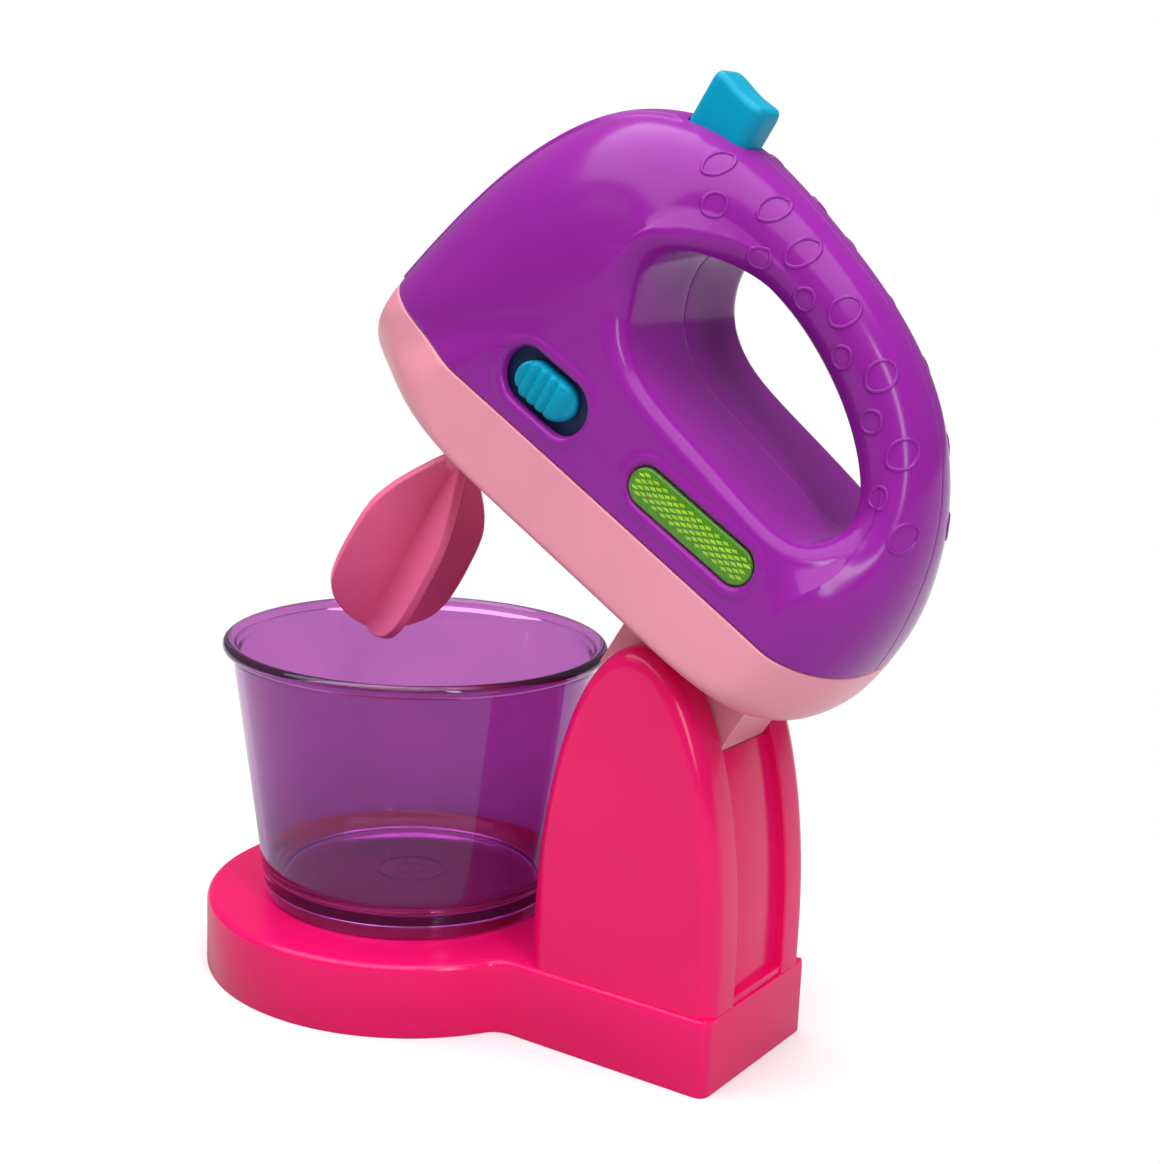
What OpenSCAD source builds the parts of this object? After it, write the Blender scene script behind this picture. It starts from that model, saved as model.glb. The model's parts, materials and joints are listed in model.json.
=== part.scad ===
// Toy stand mixer: a base with a bowl, a tower with a tilting head, and a battery-driven beater.
// Millimetres. +X runs from the bowl to the tower, +Z is up, and the origin is on the floor
// under the centre of the round platform. The head is drawn as it stands raised.

/* [Base] */
// Radius of the round platform under the bowl
platform_r = 55; // [50:0.5:60]
// Height of the base
base_h = 19.3; // [17:0.1:24]
// Width of the block that carries the tower
block_w = 50.6; // [50:0.2:56]
// Distance from the platform's centre to the rear face of the block
block_reach = 108.8; // [106:0.2:114]
// Wall of the base moulding
base_wall = 2.4; // [1.8:0.1:3]
// Rounding of the base's top edge
base_edge_r = 2; // [1:0.5:2.5]
// Radius of the two hollow corners between platform and block
waist_r = 7; // [4:0.5:10]
// Thickness of the bottom plate
plate_t = 2; // [1.6:0.1:3]

/* [Tower] */
// Width of the tower over both ears
tower_w = 48; // [46:0.5:50]
// Length of the tower at its foot
tower_l = 52.9; // [50:0.1:54]
// Height of the tower's crown above the floor
tower_top = 105.1; // [104.5:0.1:106]
// Width of the gap between the ears
ear_gap = 24; // [22:0.5:26]
// Wall of the tower mouldings
tower_wall = 2.4; // [1.8:0.1:3]
// Rounding of the ears' outer edges
ear_edge_r = 5; // [3:0.5:6]
// Depth of the recess between the ears at the rear
recess_d = 3.3; // [2:0.1:4]

/* [Tilt hinge] */
// Distance from the platform's centre to the hinge pin
hinge_x = 84; // [83:0.5:86]
// Height of the hinge pin above the floor
hinge_z = 88; // [88:0.5:90]
// Angle by which the raised head leans back
tilt_deg = 31; // [25:1:32]
// Diameter of the hinge pin
hinge_pin_d = 6; // [4:0.5:7]
// Radial clearance of a running fit
run_gap = 0.05; // [0.02:0.01:0.1]
// Clearance between parts that move past each other
move_gap = 0.4; // [0.3:0.05:0.6]

/* [Head] */
// Reach of the head from the hinge pin to the nose
nose_reach = 123.8; // [120:0.2:128]
// Reach of the head from the hinge pin to its back
tail_reach = 33.4; // [32:0.2:36]
// Height from the hinge pin to the crown of the head
crown_z = 118; // [114:0.5:122]
// Height from the hinge pin to the underside of the head
keel_z = 18.8; // [18.8:0.1:20]
// Height of the light pink tray
tray_h = 19.9; // [17:0.1:21]
// Half of the head's width at its sides
side_y = 28.7; // [28:0.1:31]
// Wall of the head mouldings
head_wall = 2.2; // [1.8:0.1:2.6]
// Half of the width of the raised band down the nose
band_half = 7.5; // [6:0.5:9]
// Distance from the hinge pin to the beater's axis, along the head
beater_reach = 87.5; // [87:0.1:88.5]

/* [Controls] */
// Length of the switch recess on the side
slot_l = 25.9; // [25.6:0.1:30]
// Height of the switch recess
slot_h = 13.6; // [12:0.1:14]
// Length of the switch slider
slider_l = 17.4; // [15:0.1:17.6]
// Height of the switch slider
slider_h = 9.8; // [8:0.1:10.4]
// Travel of the switch slider each way from the middle
slider_travel = 3.5; // [2.5:0.5:3.5]
// Length of the button on top
button_l = 16.4; // [14:0.2:18]
// Width of the button on top
button_w = 10.8; // [10:0.2:12]
// Height of the button above the head
button_h = 10.5; // [9:0.1:12]
// Travel of the button on top
button_travel = 3; // [2:0.5:3.5]
// Length of the green lens
lens_l = 36.8; // [33:0.2:40]
// Height of the green lens
lens_h = 9.5; // [8:0.1:10]

/* [Bowl] */
// Radius of the bowl at the middle of its rim bead
rim_r = 49.6; // [47:0.1:50.5]
// Height of the bowl
bowl_h = 70; // [64:0.5:70]
// Radius of the bowl at its foot
bowl_foot_r = 39.4; // [36:0.2:42]
// Wall of the bowl
bowl_wall = 2; // [1.6:0.1:2.6]
// Height of the bowl's floor above its foot
bowl_floor_z = 5; // [4:0.5:7]

/* [Beater] */
// Radius of the beater's vanes
vane_r = 17.5; // [15:0.5:19]
// Thickness of the beater's vanes
vane_t = 2.6; // [2:0.1:3]
// Depth of the beater's tip below the hinge pin's level
tip_depth = 50; // [44:0.5:52]

/* [Drive] */
// Gear module
gear_m = 0.8; // [0.7:0.05:0.85]
// Teeth of the pinions
pinion_z = 10; // [10:1:12]
// Teeth of the wheels
wheel_z = 30; // [28:1:32]
// Diameter of the motor can
motor_d = 20; // [18:0.5:22]
// Length of the motor can
motor_l = 25; // [22:0.5:28]
// Diameter of a battery
cell_d = 10.5; // [10:0.1:10.6]
// Length of a battery
cell_l = 44.5; // [43:0.1:45]

/* [Hidden] */

hot_pink = [0.91, 0.15, 0.42];
light_pink = [0.91, 0.57, 0.66];
purple = [0.55, 0.17, 0.60];
clear_purple = [0.48, 0.17, 0.62];
turquoise = [0.0, 0.57, 0.73];
dark = [0.16, 0.07, 0.14];
green = [0.38, 0.68, 0.05];
steel = [0.75, 0.76, 0.78];
white_nylon = [0.93, 0.92, 0.88];
$fn = 48;
over = 1;

// Outline of the head in side view, drawn with the hinge pin at [0, 0], nose to the left.
// Each outline point is paired with one on the handle hole, and a spoke runs between the two.
drawn_nose = 123.8;
drawn_tail = 33.4;
drawn_low = 18;
drawn_high = 118;
drawn_side = 28.7;
outline = [
    [-20, 18], [-60, 18], [-95, 18], [-112, 18.4], [-120.5, 20.5], [-123.4, 26],
    [-123.8, 33], [-122.9, 41], [-119.3, 55], [-112, 76], [-101.5, 95.5], [-87.5, 110.6],
    [-67, 118], [-47.5, 116.8], [-30, 113.4], [-12.6, 108.6], [5, 100.3], [18, 88.8],
    [28, 72.5], [32.6, 54], [33.4, 40], [31.6, 26.4], [25.8, 19.6], [10, 18]
];
hole = [
    [-22, 63.8], [-40, 66.2], [-49, 70.6], [-52.5, 74.4], [-54, 77], [-55, 79.5],
    [-55.8, 81.8], [-56.3, 84], [-56.6, 87], [-56.2, 90.5], [-54.4, 93.8], [-51, 96.3],
    [-45, 97], [-38, 96.4], [-28.5, 94.3], [-18.5, 90.9], [-7, 85.4], [3.5, 77.6],
    [10.2, 70], [12.6, 65.5], [10.5, 61.5], [5, 60.3], [-3, 61.2], [-11, 62.3]
];
// Half widths of the head along each spoke: at the hole and at the outline
half_width = [
    [29.2, 29.6], [28.9, 28.8], [28.7, 28.5], [28.6, 28.6], [28.6, 28.7], [28.6, 28.7],
    [28.6, 28.7], [28.6, 28.7], [28.6, 28.6], [28.5, 28.3], [28, 27.5], [26.5, 25.5],
    [21.5, 19.5], [15.5, 14.5], [12.6, 12.6], [12, 12], [12, 12], [12.2, 12.2],
    [14.5, 15], [21, 23], [26, 29], [28.5, 30.2], [29.2, 30.4], [29.4, 30.2]
];
// Roundings along each spoke: depth and height at the hole, depth and power at the outline
rounding = [
    [4, 4, 5, 4], [4, 4, 5, 4], [4.5, 4.5, 10, 3.4], [5.5, 5.5, 58, 2.4], [6.2, 6.2, 79, 2.2],
    [6.8, 6.8, 78, 2.2], [7, 7, 75, 2.2], [7, 7, 71, 2.2], [7, 7, 62, 2.2], [6.8, 6.8, 50, 2.2],
    [6.5, 6.5, 40, 2.2], [6.8, 7.5, 30, 2.2], [7.5, 11, 17, 2.2], [8.6, 13.5, 12, 2.2], [9, 12.6, 9.8, 2.2],
    [9, 12, 9.4, 2.2], [9, 12, 9.6, 2.2], [8.8, 12.2, 9.2, 2.2], [8, 12, 9.6, 2.2],
    [6, 8, 14, 2.2], [4.5, 5, 22, 2.2], [4, 4, 26, 2.3], [4, 4, 16, 3], [4, 4, 6, 4]
];
spoke_count = 48;
flat_min = 1.2;

function spline(a, b, c, d, t) =
    0.5 * (2 * b + (c - a) * t + (2 * a - 5 * b + 4 * c - d) * t * t + (3 * b - a - 3 * c + d) * t * t * t);
function along(line, u) =
    let (n = len(line), i = floor(u), t = u - i)
    spline(line[(i + n - 1) % n], line[i % n], line[(i + 1) % n], line[(i + 2) % n], t);
function sized(p) = [
    p[0] < 0 ? p[0] * nose_reach / drawn_nose : p[0] * tail_reach / drawn_tail,
    keel_low + (p[1] - drawn_low) * (crown_z - keel_low) / (drawn_high - drawn_low)
];
function outline_at(u) = sized(along(outline, u));
function hole_at(u) = sized(along(hole, u));
function width_at(u) = along(half_width, u) * side_y / drawn_side;
function spoke_dir(u) = let (v = outline_at(u) - hole_at(u)) v / norm(v);

// One side of the section along a spoke, from the hole's wall to the outline, inset by t
round_angles = [83, 66, 49, 32, 16, 0];
function half_section(u, t) =
    let (
        l = norm(outline_at(u) - hole_at(u)) - 2 * t,
        w = width_at(u) - [t, t],
        r = along(rounding, u),
        ri = max(r[0] - t, 0.6),
        rh = max(min(r[1], width_at(u)[0] - flat_min) - t, 0.6),
        ro = max(r[2] - t, 0.6),
        q = 2 / r[3]
    )
    concat(
        [[0, 0]],
        [for (a = [0, 30, 60, 90]) [ri * (1 - cos(a)), w[0] - rh + rh * sin(a)]],
        [for (a = round_angles) [l - ro + ro * pow(cos(a), q), w[1] * pow(sin(a), q)]]
    );
function section_points(u, t) =
    let (
        half = half_section(u, t),
        n = len(half),
        start = hole_at(u) + spoke_dir(u) * t,
        both = concat(
            [for (i = [0:n - 1]) [half[i][0], -half[i][1]]],
            [for (i = [n - 2:-1:1]) half[i]]
        )
    )
    [for (p = both) [start[0] + spoke_dir(u)[0] * p[0], p[1], start[1] + spoke_dir(u)[1] * p[0]]];

// The closed form of the head, a ring around the handle hole, inset by t
module head_form(t) {
    rows = spoke_count;
    rings = [for (i = [0:rows - 1]) section_points(i * len(outline) / rows, t)];
    cols = len(rings[0]);
    points = [for (ring = rings) each ring];
    faces = [
        for (i = [0:rows - 1], j = [0:cols - 1])
        let (
            a = i * cols + j,
            b = i * cols + (j + 1) % cols,
            c = ((i + 1) % rows) * cols + (j + 1) % cols,
            d = ((i + 1) % rows) * cols + j
        )
        each [[a, b, c], [a, c, d]]
    ];
    polyhedron(points, faces);
}

// Places in the head, measured from the hinge pin with the head level
keel_low = keel_z - 0.8;
part_z = keel_z + tray_h;
floor_z = keel_z + head_wall;
seam_gap = 0.05;
seat_gap = 0.05;
far = 300;
beater_x = -beater_reach;

// Fasteners
screw_r = 1.2;
pilot_r = screw_r + 0.02;
screw_hole_r = 1.6;
screw_head_r = 2.6;
screw_head_h = 1.3;
bore_head_r = 3;
boss_r = 3.4;
wide_boss_r = 4.3;

module in_head() {
    translate([hinge_x, 0, hinge_z])
    rotate([0, tilt_deg, 0])
    children();
}
// Cylinder along Y from y0 to y1
module y_cyl(x, z, r, y0, y1) {
    translate([x, y0, z])
    rotate([-90, 0, 0])
    cylinder(r = r, h = y1 - y0);
}
// Cylinder along Z from z0 to z1
module z_cyl(x, y, r, z0, z1) {
    translate([x, y, z0])
    cylinder(r = r, h = z1 - z0);
}
module block(x0, x1, y0, y1, z0, z1) {
    translate([x0, y0, z0])
    cube([x1 - x0, y1 - y0, z1 - z0]);
}
// Stadium lying along X around [x, z], from y0 to y1
module y_pill(x, z, l, h, y0, y1) {
    for (s = [-1, 1]) {
        y_cyl(x + s * (l - h) / 2, z, h / 2, y0, y1);
    }
    block(x - (l - h) / 2, x + (l - h) / 2, y0, y1, z - h / 2, z + h / 2);
}
// Screw with its head standing on z = 0 and its tip below
module screw(length) {
    difference() {
        z_cyl(0, 0, screw_head_r, 0, screw_head_h);
        block(-screw_head_r, screw_head_r, -0.3, 0.3, screw_head_h - 0.6, screw_head_h + over);
    }
    z_cyl(0, 0, screw_r, -length, 0);
}
// Form through rings of equal length, closed by its first and last ring
module loft(rings) {
    n = len(rings[0]);
    last = (len(rings) - 1) * n;
    sides = [
        for (i = [0:len(rings) - 2], j = [0:n - 1])
        let (a = i * n + j, b = i * n + (j + 1) % n)
        each [[a, b, b + n], [a, b + n, a + n]]
    ];
    faces = concat([[for (j = [n - 1:-1:0]) j]], sides, [[for (j = [0:n - 1]) last + j]]);
    polyhedron([for (ring = rings) each ring], faces);
}

// Base

base_floor_z = plate_t + seat_gap;
base_roof_z = base_h - base_wall;
block_x0 = 20;
block_corner_r = 3;
waist_y = block_w / 2 + waist_r;
waist_x = sqrt(pow(platform_r + waist_r, 2) - pow(waist_y, 2));
locator_r = bowl_foot_r - 5.9;
locator_h = 2.5;
plate_fit = 0.2;
plate_boss = [[-42, 0], [21, 36.4], [21, -36.4], [block_reach - 6.3, 0]];

function arc(c, r, a0, a1, steps, from, to) =
    [for (i = [from:to]) let (a = a0 + (a1 - a0) * i / steps) c + r * [cos(a), sin(a)]];
// Outline of platform, waist and block, inset by d
function base_outline(d) =
    let (
        turn = atan2(waist_y, waist_x),
        x1 = block_reach - block_corner_r,
        y1 = block_w / 2 - block_corner_r,
        r = waist_r + d
    )
    concat(
        arc([0, 0], platform_r - d, turn, 360 - turn, 72, 0, 72),
        arc([waist_x, -waist_y], r, 180 - turn, 90, 6, 1, 6),
        arc([x1, -y1], block_corner_r - d, -90, 0, 4, 0, 4),
        arc([x1, y1], block_corner_r - d, 0, 90, 4, 0, 4),
        arc([waist_x, waist_y], r, 270, 180 + turn, 6, 0, 5)
    );
function base_ring(d, z) =
    let (line = base_outline(d), n = len(line))
    [for (i = [n - 1:-1:0]) [line[i][0], line[i][1], z]];
module base_form() {
    loft(concat(
        [base_ring(0, 0)],
        [
            for (a = [0:22.5:90])
            base_ring(base_edge_r * (1 - cos(a)), base_h - base_edge_r + base_edge_r * sin(a))
        ]
    ));
}
module base_shell() {
    color(hot_pink)
    difference() {
        union() {
            difference() {
                base_form();
                z_cyl(0, 0, platform_r - base_wall, -over, base_roof_z);
                block(
                    block_x0, block_reach - base_wall,
                    -block_w / 2 + base_wall, block_w / 2 - base_wall, -over, base_roof_z
                );
            }
            z_cyl(0, 0, locator_r, base_h - over, base_h + locator_h);
            for (p = plate_boss) {
                z_cyl(p[0], p[1], boss_r, base_floor_z, base_roof_z + over);
            }
        }
        for (p = plate_boss) {
            z_cyl(p[0], p[1], pilot_r, base_floor_z - over, base_roof_z - 2);
        }
        for (p = tower_screw_at) {
            z_cyl(p[0], p[1], screw_hole_r, base_roof_z - over, base_h + over);
        }
    }
}
module base_plate() {
    recess = screw_head_h + 0.2;
    color(hot_pink)
    difference() {
        union() {
            z_cyl(0, 0, platform_r - base_wall - plate_fit, 0, plate_t);
            block(
                block_x0, block_reach - base_wall - plate_fit,
                -block_w / 2 + base_wall + plate_fit, block_w / 2 - base_wall - plate_fit, 0, plate_t
            );
        }
        for (p = plate_boss) {
            z_cyl(p[0], p[1], screw_hole_r, -over, plate_t + over);
            z_cyl(p[0], p[1], bore_head_r, -over, recess);
        }
    }
}
module base_screws() {
    color(steel)
    for (p = plate_boss) {
        translate([p[0], p[1], screw_head_h + 0.18])
        rotate([180, 0, 0])
        screw(11);
    }
}

// Tower

tower_x = block_reach - 0.3 - tower_l / 2;
tower_knee_z = 30;
ear_y = ear_gap / 2;
ear_screw_y = (ear_y + tower_w / 2) / 2;
tower_screw_at = [
    for (x = [tower_x - 17, tower_x + 17], y = [-ear_screw_y, ear_screw_y]) [x, y],
    [tower_x - 13, 0], [tower_x + 12, 0]
];
tower_boss_h = 13;
pin_r = hinge_pin_d / 2;
pin_bore_r = pin_r + run_gap;
pin_grip = 8;
seat_front_r = 21.3;
seat_rear_r = 17.6;
core_y = ear_y - seam_gap;
core_front_d = 1.2;
core_roof_z = 60;
sill_h = 2;

// Side view of the tower from its foot at z0, inset by d
function tower_profile(d, z0) = concat(
    [[tower_x + tower_l / 2 - d, z0]],
    [
        for (a = [0:6:180])
        [tower_x + (tower_l / 2 - d) * cos(a), tower_knee_z + (tower_top - tower_knee_z - d) * sin(a)]
    ],
    [[tower_x - tower_l / 2 + d, z0]]
);
function ring_at(profile, y) = [for (p = profile) [p[0], y, p[1]]];
// One ear on the +Y side, inset by t, from its inner face outwards
module ear_form(t, z0) {
    r = ear_edge_r - t;
    rings = concat(
        [ring_at(tower_profile(t, z0), ear_y + t)],
        [
            for (a = [0:15:90])
            ring_at(tower_profile(t + r * (1 - cos(a)), z0), tower_w / 2 - ear_edge_r + r * sin(a))
        ]
    );
    loft(rings);
}
module ear(s) {
    color(hot_pink)
    mirror([0, s < 0 ? 1 : 0, 0])
    difference() {
        union() {
            difference() {
                ear_form(0, base_h + seat_gap);
                ear_form(tower_wall, base_h - over);
            }
            for (x = [tower_x - 17, tower_x + 17]) {
                z_cyl(x, ear_screw_y, boss_r, base_h + seat_gap, base_h + tower_boss_h);
                block(
                    x - 0.8, x + 0.8, ear_y + over, tower_w / 2 - over,
                    base_h + seat_gap, base_h + tower_boss_h
                );
            }
            y_cyl(hinge_x, hinge_z, pin_r + 3, ear_y + over, ear_y + pin_grip + 2);
        }
        for (x = [tower_x - 17, tower_x + 17]) {
            z_cyl(x, ear_screw_y, pilot_r, base_h - over, base_h + tower_boss_h - 2);
        }
        y_cyl(hinge_x, hinge_z, pin_r + 0.02, ear_y - over, ear_y + pin_grip + 0.3);
    }
}
module tower_left() {
    ear(-1);
}
module tower_right() {
    ear(1);
}
module core_form(d_front, d_rear, y, z0) {
    for (side = [[d_front, tower_x - 60, tower_x], [d_rear, tower_x - 0.01, tower_x + 60]]) {
        intersection() {
            translate([0, y, 0])
            rotate([90, 0, 0])
            linear_extrude(2 * y)
            polygon(tower_profile(side[0], z0));
            block(side[1], side[2], -y - over, y + over, z0, tower_top);
        }
    }
}
module tower_core() {
    z0 = base_h + seat_gap;
    color(hot_pink)
    difference() {
        union() {
            difference() {
                union() {
                    core_form(core_front_d, recess_d, core_y, z0);
                    block(tower_x, tower_x + tower_l / 2, -core_y, core_y, z0, z0 + sill_h);
                }
                intersection() {
                    core_form(
                        core_front_d + tower_wall, recess_d + tower_wall, core_y - tower_wall, base_h - over
                    );
                    block(0, far, -far, far, 0, core_roof_z);
                }
            }
            for (x = [tower_x - 13, tower_x + 12]) {
                z_cyl(x, 0, boss_r, z0, base_h + tower_boss_h);
                block(x - 0.8, x + 0.8, -core_y + over, core_y - over, z0, base_h + tower_boss_h);
            }
        }
        intersection() {
            y_cyl(hinge_x, hinge_z, seat_front_r, -ear_y, ear_y);
            block(0, hinge_x, -ear_y, ear_y, 0, far);
        }
        y_cyl(hinge_x, hinge_z, seat_rear_r, -ear_y, ear_y);
        block(0, far, -ear_y, ear_y, hinge_z, far);
        for (x = [tower_x - 13, tower_x + 12]) {
            z_cyl(x, 0, pilot_r, base_h - over, base_h + tower_boss_h - 2);
        }
    }
}
module tower_screws() {
    color(steel)
    for (p = tower_screw_at) {
        translate([p[0], p[1], base_roof_z - 0.02])
        rotate([180, 0, 0])
        screw(base_wall + tower_boss_h - 3);
    }
}
module hinge_pin() {
    color(steel)
    y_cyl(hinge_x, hinge_z, pin_r, -ear_y - pin_grip, ear_y + pin_grip);
}

washer_t = 0.6;
washer_gap = 0.1;
neck_y = ear_y - washer_t - 2 * washer_gap;
module hinge_washers() {
    color(white_nylon)
    for (s = [-1, 1]) {
        y = s * (neck_y + ear_y) / 2;
        difference() {
            y_cyl(hinge_x, hinge_z, 9, y - washer_t / 2, y + washer_t / 2);
            y_cyl(hinge_x, hinge_z, pin_bore_r, -far, far);
        }
    }
}

// Bowl

bowl_z = base_h + 0.3;
bead_r = 1.6;
bead_z = bowl_h - bead_r;
wall_top_r = rim_r - 0.7;
wall_lean = (wall_top_r - bowl_foot_r) / bead_z;
foot_ring_w = 3;
bowl_floor_r = 7;

// Radius of the bowl's inner face at height z above its foot
function bowl_in(z) = bowl_foot_r + wall_lean * z - bowl_wall;
module bowl() {
    fr = bowl_floor_r;
    knee = bowl_in(bowl_floor_z + fr) - fr;
    color(clear_purple)
    translate([0, 0, bowl_z])
    rotate_extrude($fn = 96) {
        polygon(concat(
            [[0, bowl_floor_z - bowl_wall], [bowl_foot_r - foot_ring_w, bowl_floor_z - bowl_wall]],
            [[bowl_foot_r - foot_ring_w, 0], [bowl_foot_r - 1, 0], [bowl_foot_r, 1]],
            [[wall_top_r, bead_z], [wall_top_r - bowl_wall, bead_z]],
            [for (a = [0:15:90]) [knee + fr * cos(a), bowl_floor_z + fr - fr * sin(a)]],
            [[0, bowl_floor_z]]
        ));
        translate([rim_r, bead_z])
        circle(bead_r);
    }
}

// Head: neck and tray

neck_front_x = -20.5;
neck_rear_x = 17;
neck_screw_at = [for (x = [-16.4, 12.8], y = [-7, 7]) [x, y]];
tray_screw_at = [[-105.5, -7], [-105.5, 7], [14, -15.5], [14, 15.5]];
tray_seat_z = floor_z + 9;
cell_gap = 0.5;
bay_l = 2 * cell_d + 3 * cell_gap;
bay_x = -36.5;
bay_x0 = bay_x - bay_l / 2;
bay_x1 = bay_x + bay_l / 2;
bay_y = cell_l / 2 + 1.2;
bay_wall = 1.6;
cell_z = keel_z + head_wall + 0.3 + cell_d / 2;
bay_roof_z = cell_z + cell_d / 2 + 0.5;
door_t = 1.6;
door_fit = 0.2;
door_lap = 1.5;
tab_y = 4.5;
tab_l = 5.6;
tab_x = bay_x0 - door_lap - 2.8;
board_x0 = -54;
board_x1 = -20;
board_y = 17;
board_z = part_z + 3;
board_t = 1.6;
board_post = [for (x = [board_x0 + 3, board_x1 - 3], y = [-board_y + 3, board_y - 3]) [x, y]];
bush_r = 4;

module tilt_neck() {
    color(light_pink)
    in_head()
    difference() {
        union() {
            y_cyl(0, 0, 17, -neck_y, neck_y);
            block(neck_front_x, neck_rear_x, -neck_y, neck_y, -2, keel_z - seat_gap);
        }
        y_cyl(0, 0, pin_bore_r, -far, far);
        block(neck_rear_x - 3, far, -far, far, -far, 0);
        for (p = neck_screw_at) {
            z_cyl(p[0], p[1], pilot_r, 6, keel_z + over);
        }
        block(neck_front_x + 7.5, neck_rear_x - 7.5, -neck_y + 2.5, neck_y - 2.5, 6.5, keel_z + over);
    }
}
module neck_screws() {
    color(steel)
    in_head()
    for (p = neck_screw_at) {
        translate([p[0], p[1], floor_z + 0.02])
        screw(head_wall + 10);
    }
}
module tray_inside() {
    for (p = tray_screw_at) {
        z_cyl(p[0], p[1], wide_boss_r, keel_z, part_z - seam_gap);
    }
    block(bay_x0 - bay_wall, bay_x1 + bay_wall, -far, far, keel_z, bay_roof_z + bay_wall);
    z_cyl(tab_x, 0, boss_r, keel_z, floor_z + 8);
}
module board_posts() {
    for (p = board_post) {
        z_cyl(p[0], p[1], 2.4, bay_roof_z, board_z - seat_gap);
        z_cyl(p[0], p[1], 1.2, bay_roof_z, board_z + board_t + 0.8);
    }
}
module lower_shell() {
    rebate_z = keel_z + door_t + door_fit;
    color(light_pink)
    in_head()
    difference() {
        union() {
            difference() {
                head_form(0);
                difference() {
                    head_form(head_wall);
                    block(-far, far, -far, far, -far, floor_z);
                    tray_inside();
                }
                block(-far, far, -far, far, part_z - seam_gap, far);
            }
            board_posts();
        }
        block(-far, far, -far, far, -far, keel_z);
        for (p = tray_screw_at) {
            z_cyl(p[0], p[1], screw_hole_r, keel_z - over, far);
            z_cyl(p[0], p[1], bore_head_r, keel_z - over, tray_seat_z);
        }
        for (p = neck_screw_at) {
            z_cyl(p[0], p[1], screw_hole_r, keel_z - over, floor_z + over);
        }
        block(bay_x0, bay_x1, -bay_y, bay_y, keel_z - over, bay_roof_z);
        block(bay_x0 - door_lap, bay_x1 + door_lap, -bay_y, bay_y, keel_z - over, rebate_z);
        block(
            bay_x0 - door_lap - tab_l, bay_x0, -tab_y - door_fit, tab_y + door_fit, keel_z - over, rebate_z
        );
        z_cyl(tab_x, 0, pilot_r, keel_z - over, floor_z + 7);
        z_cyl(beater_x, 0, bush_r + seat_gap, keel_z - over, floor_z + over);
    }
}
module tray_screws() {
    color(steel)
    in_head()
    for (p = tray_screw_at) {
        translate([p[0], p[1], tray_seat_z - 0.02])
        rotate([180, 0, 0])
        screw(part_z - tray_seat_z + 9);
    }
}
module battery_door() {
    color(light_pink)
    in_head()
    difference() {
        union() {
            block(
                bay_x0 - door_lap + door_fit, bay_x1 + door_lap - door_fit,
                -bay_y + door_fit, bay_y - door_fit, keel_z, keel_z + door_t
            );
            block(bay_x0 - door_lap - tab_l + door_fit, bay_x0, -tab_y, tab_y, keel_z, keel_z + door_t);
        }
        z_cyl(tab_x, 0, screw_hole_r, keel_z - over, far);
        z_cyl(tab_x, 0, bore_head_r, keel_z - over, keel_z + 0.8);
    }
}
module door_screw() {
    color(steel)
    in_head()
    translate([tab_x, 0, keel_z + 0.78])
    rotate([180, 0, 0])
    screw(7);
}
module batteries() {
    color([0.82, 0.5, 0.2])
    in_head()
    for (s = [-1, 1]) {
        translate([bay_x + s * (cell_d + cell_gap) / 2, 0, cell_z])
        mirror([0, s < 0 ? 1 : 0, 0]) {
            y_cyl(0, 0, cell_d / 2, -cell_l / 2, cell_l / 2 - 1);
            y_cyl(0, 0, 1.9, cell_l / 2 - 1, cell_l / 2);
        }
    }
}
module battery_contacts() {
    contact_t = 0.5;
    color(steel)
    in_head()
    for (s = [-1, 1], x = [-1, 1]) {
        y0 = s * (cell_l / 2 + 0.6);
        block(
            bay_x + x * (cell_d + cell_gap) / 2 - 3.5, bay_x + x * (cell_d + cell_gap) / 2 + 3.5,
            y0 - contact_t / 2, y0 + contact_t / 2, cell_z - 4, cell_z + 4
        );
    }
}

// Head: upper shells

shell_screw_at = [[-106, 60], [-86, 93], [22, 60], [-38, 54], [-29, 103.8]];
shell_seat_y = 7;
shell_bite = 9;
band_rise = 1.2;
button_x = -68;
slot_x = -61.2;
slot_z = part_z + 12;
lens_x = -12.8;
lens_z = part_z + 11;
lens_fit = 0.4;
wall_zone = 6;

module shell_inside(s) {
    for (p = shell_screw_at) {
        y_cyl(p[0], p[1], wide_boss_r, s < 0 ? -far : seam_gap, s < 0 ? -seam_gap : far);
    }
    for (p = tray_screw_at) {
        if (p[1] * s > 0) {
            z_cyl(p[0], p[1], boss_r - 0.4, part_z + seam_gap, part_z + 12);
            block(
                p[0] - 0.8, p[0] + 0.8,
                s < 0 ? -far : p[1] + 2, s < 0 ? p[1] - 2 : far, part_z + seam_gap, part_z + 12
            );
        }
    }
}
// Upper shell on the side s, -1 for the side with the switch
module upper_shell(s) {
    difference() {
        union() {
            head_form(0);
            intersection() {
                head_form(-band_rise);
                block(-far, button_x - button_l / 2 - move_gap, -band_half, band_half, part_z, far);
            }
        }
        difference() {
            head_form(head_wall);
            shell_inside(s);
        }
        block(-far, far, s < 0 ? -seam_gap / 2 : -far, s < 0 ? far : seam_gap / 2, -far, far);
        block(-far, far, -far, far, -far, part_z);
        for (p = shell_screw_at) {
            if (s < 0) {
                y_cyl(p[0], p[1], pilot_r, -shell_seat_y - 4, over);
            } else {
                y_cyl(p[0], p[1], screw_hole_r, -over, far);
                y_cyl(p[0], p[1], bore_head_r, shell_seat_y, far);
            }
        }
        for (p = tray_screw_at) {
            z_cyl(p[0], p[1], pilot_r, part_z - over, part_z + 11);
        }
        button_pocket(move_gap, crown_z - 12);
    }
}
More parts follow.
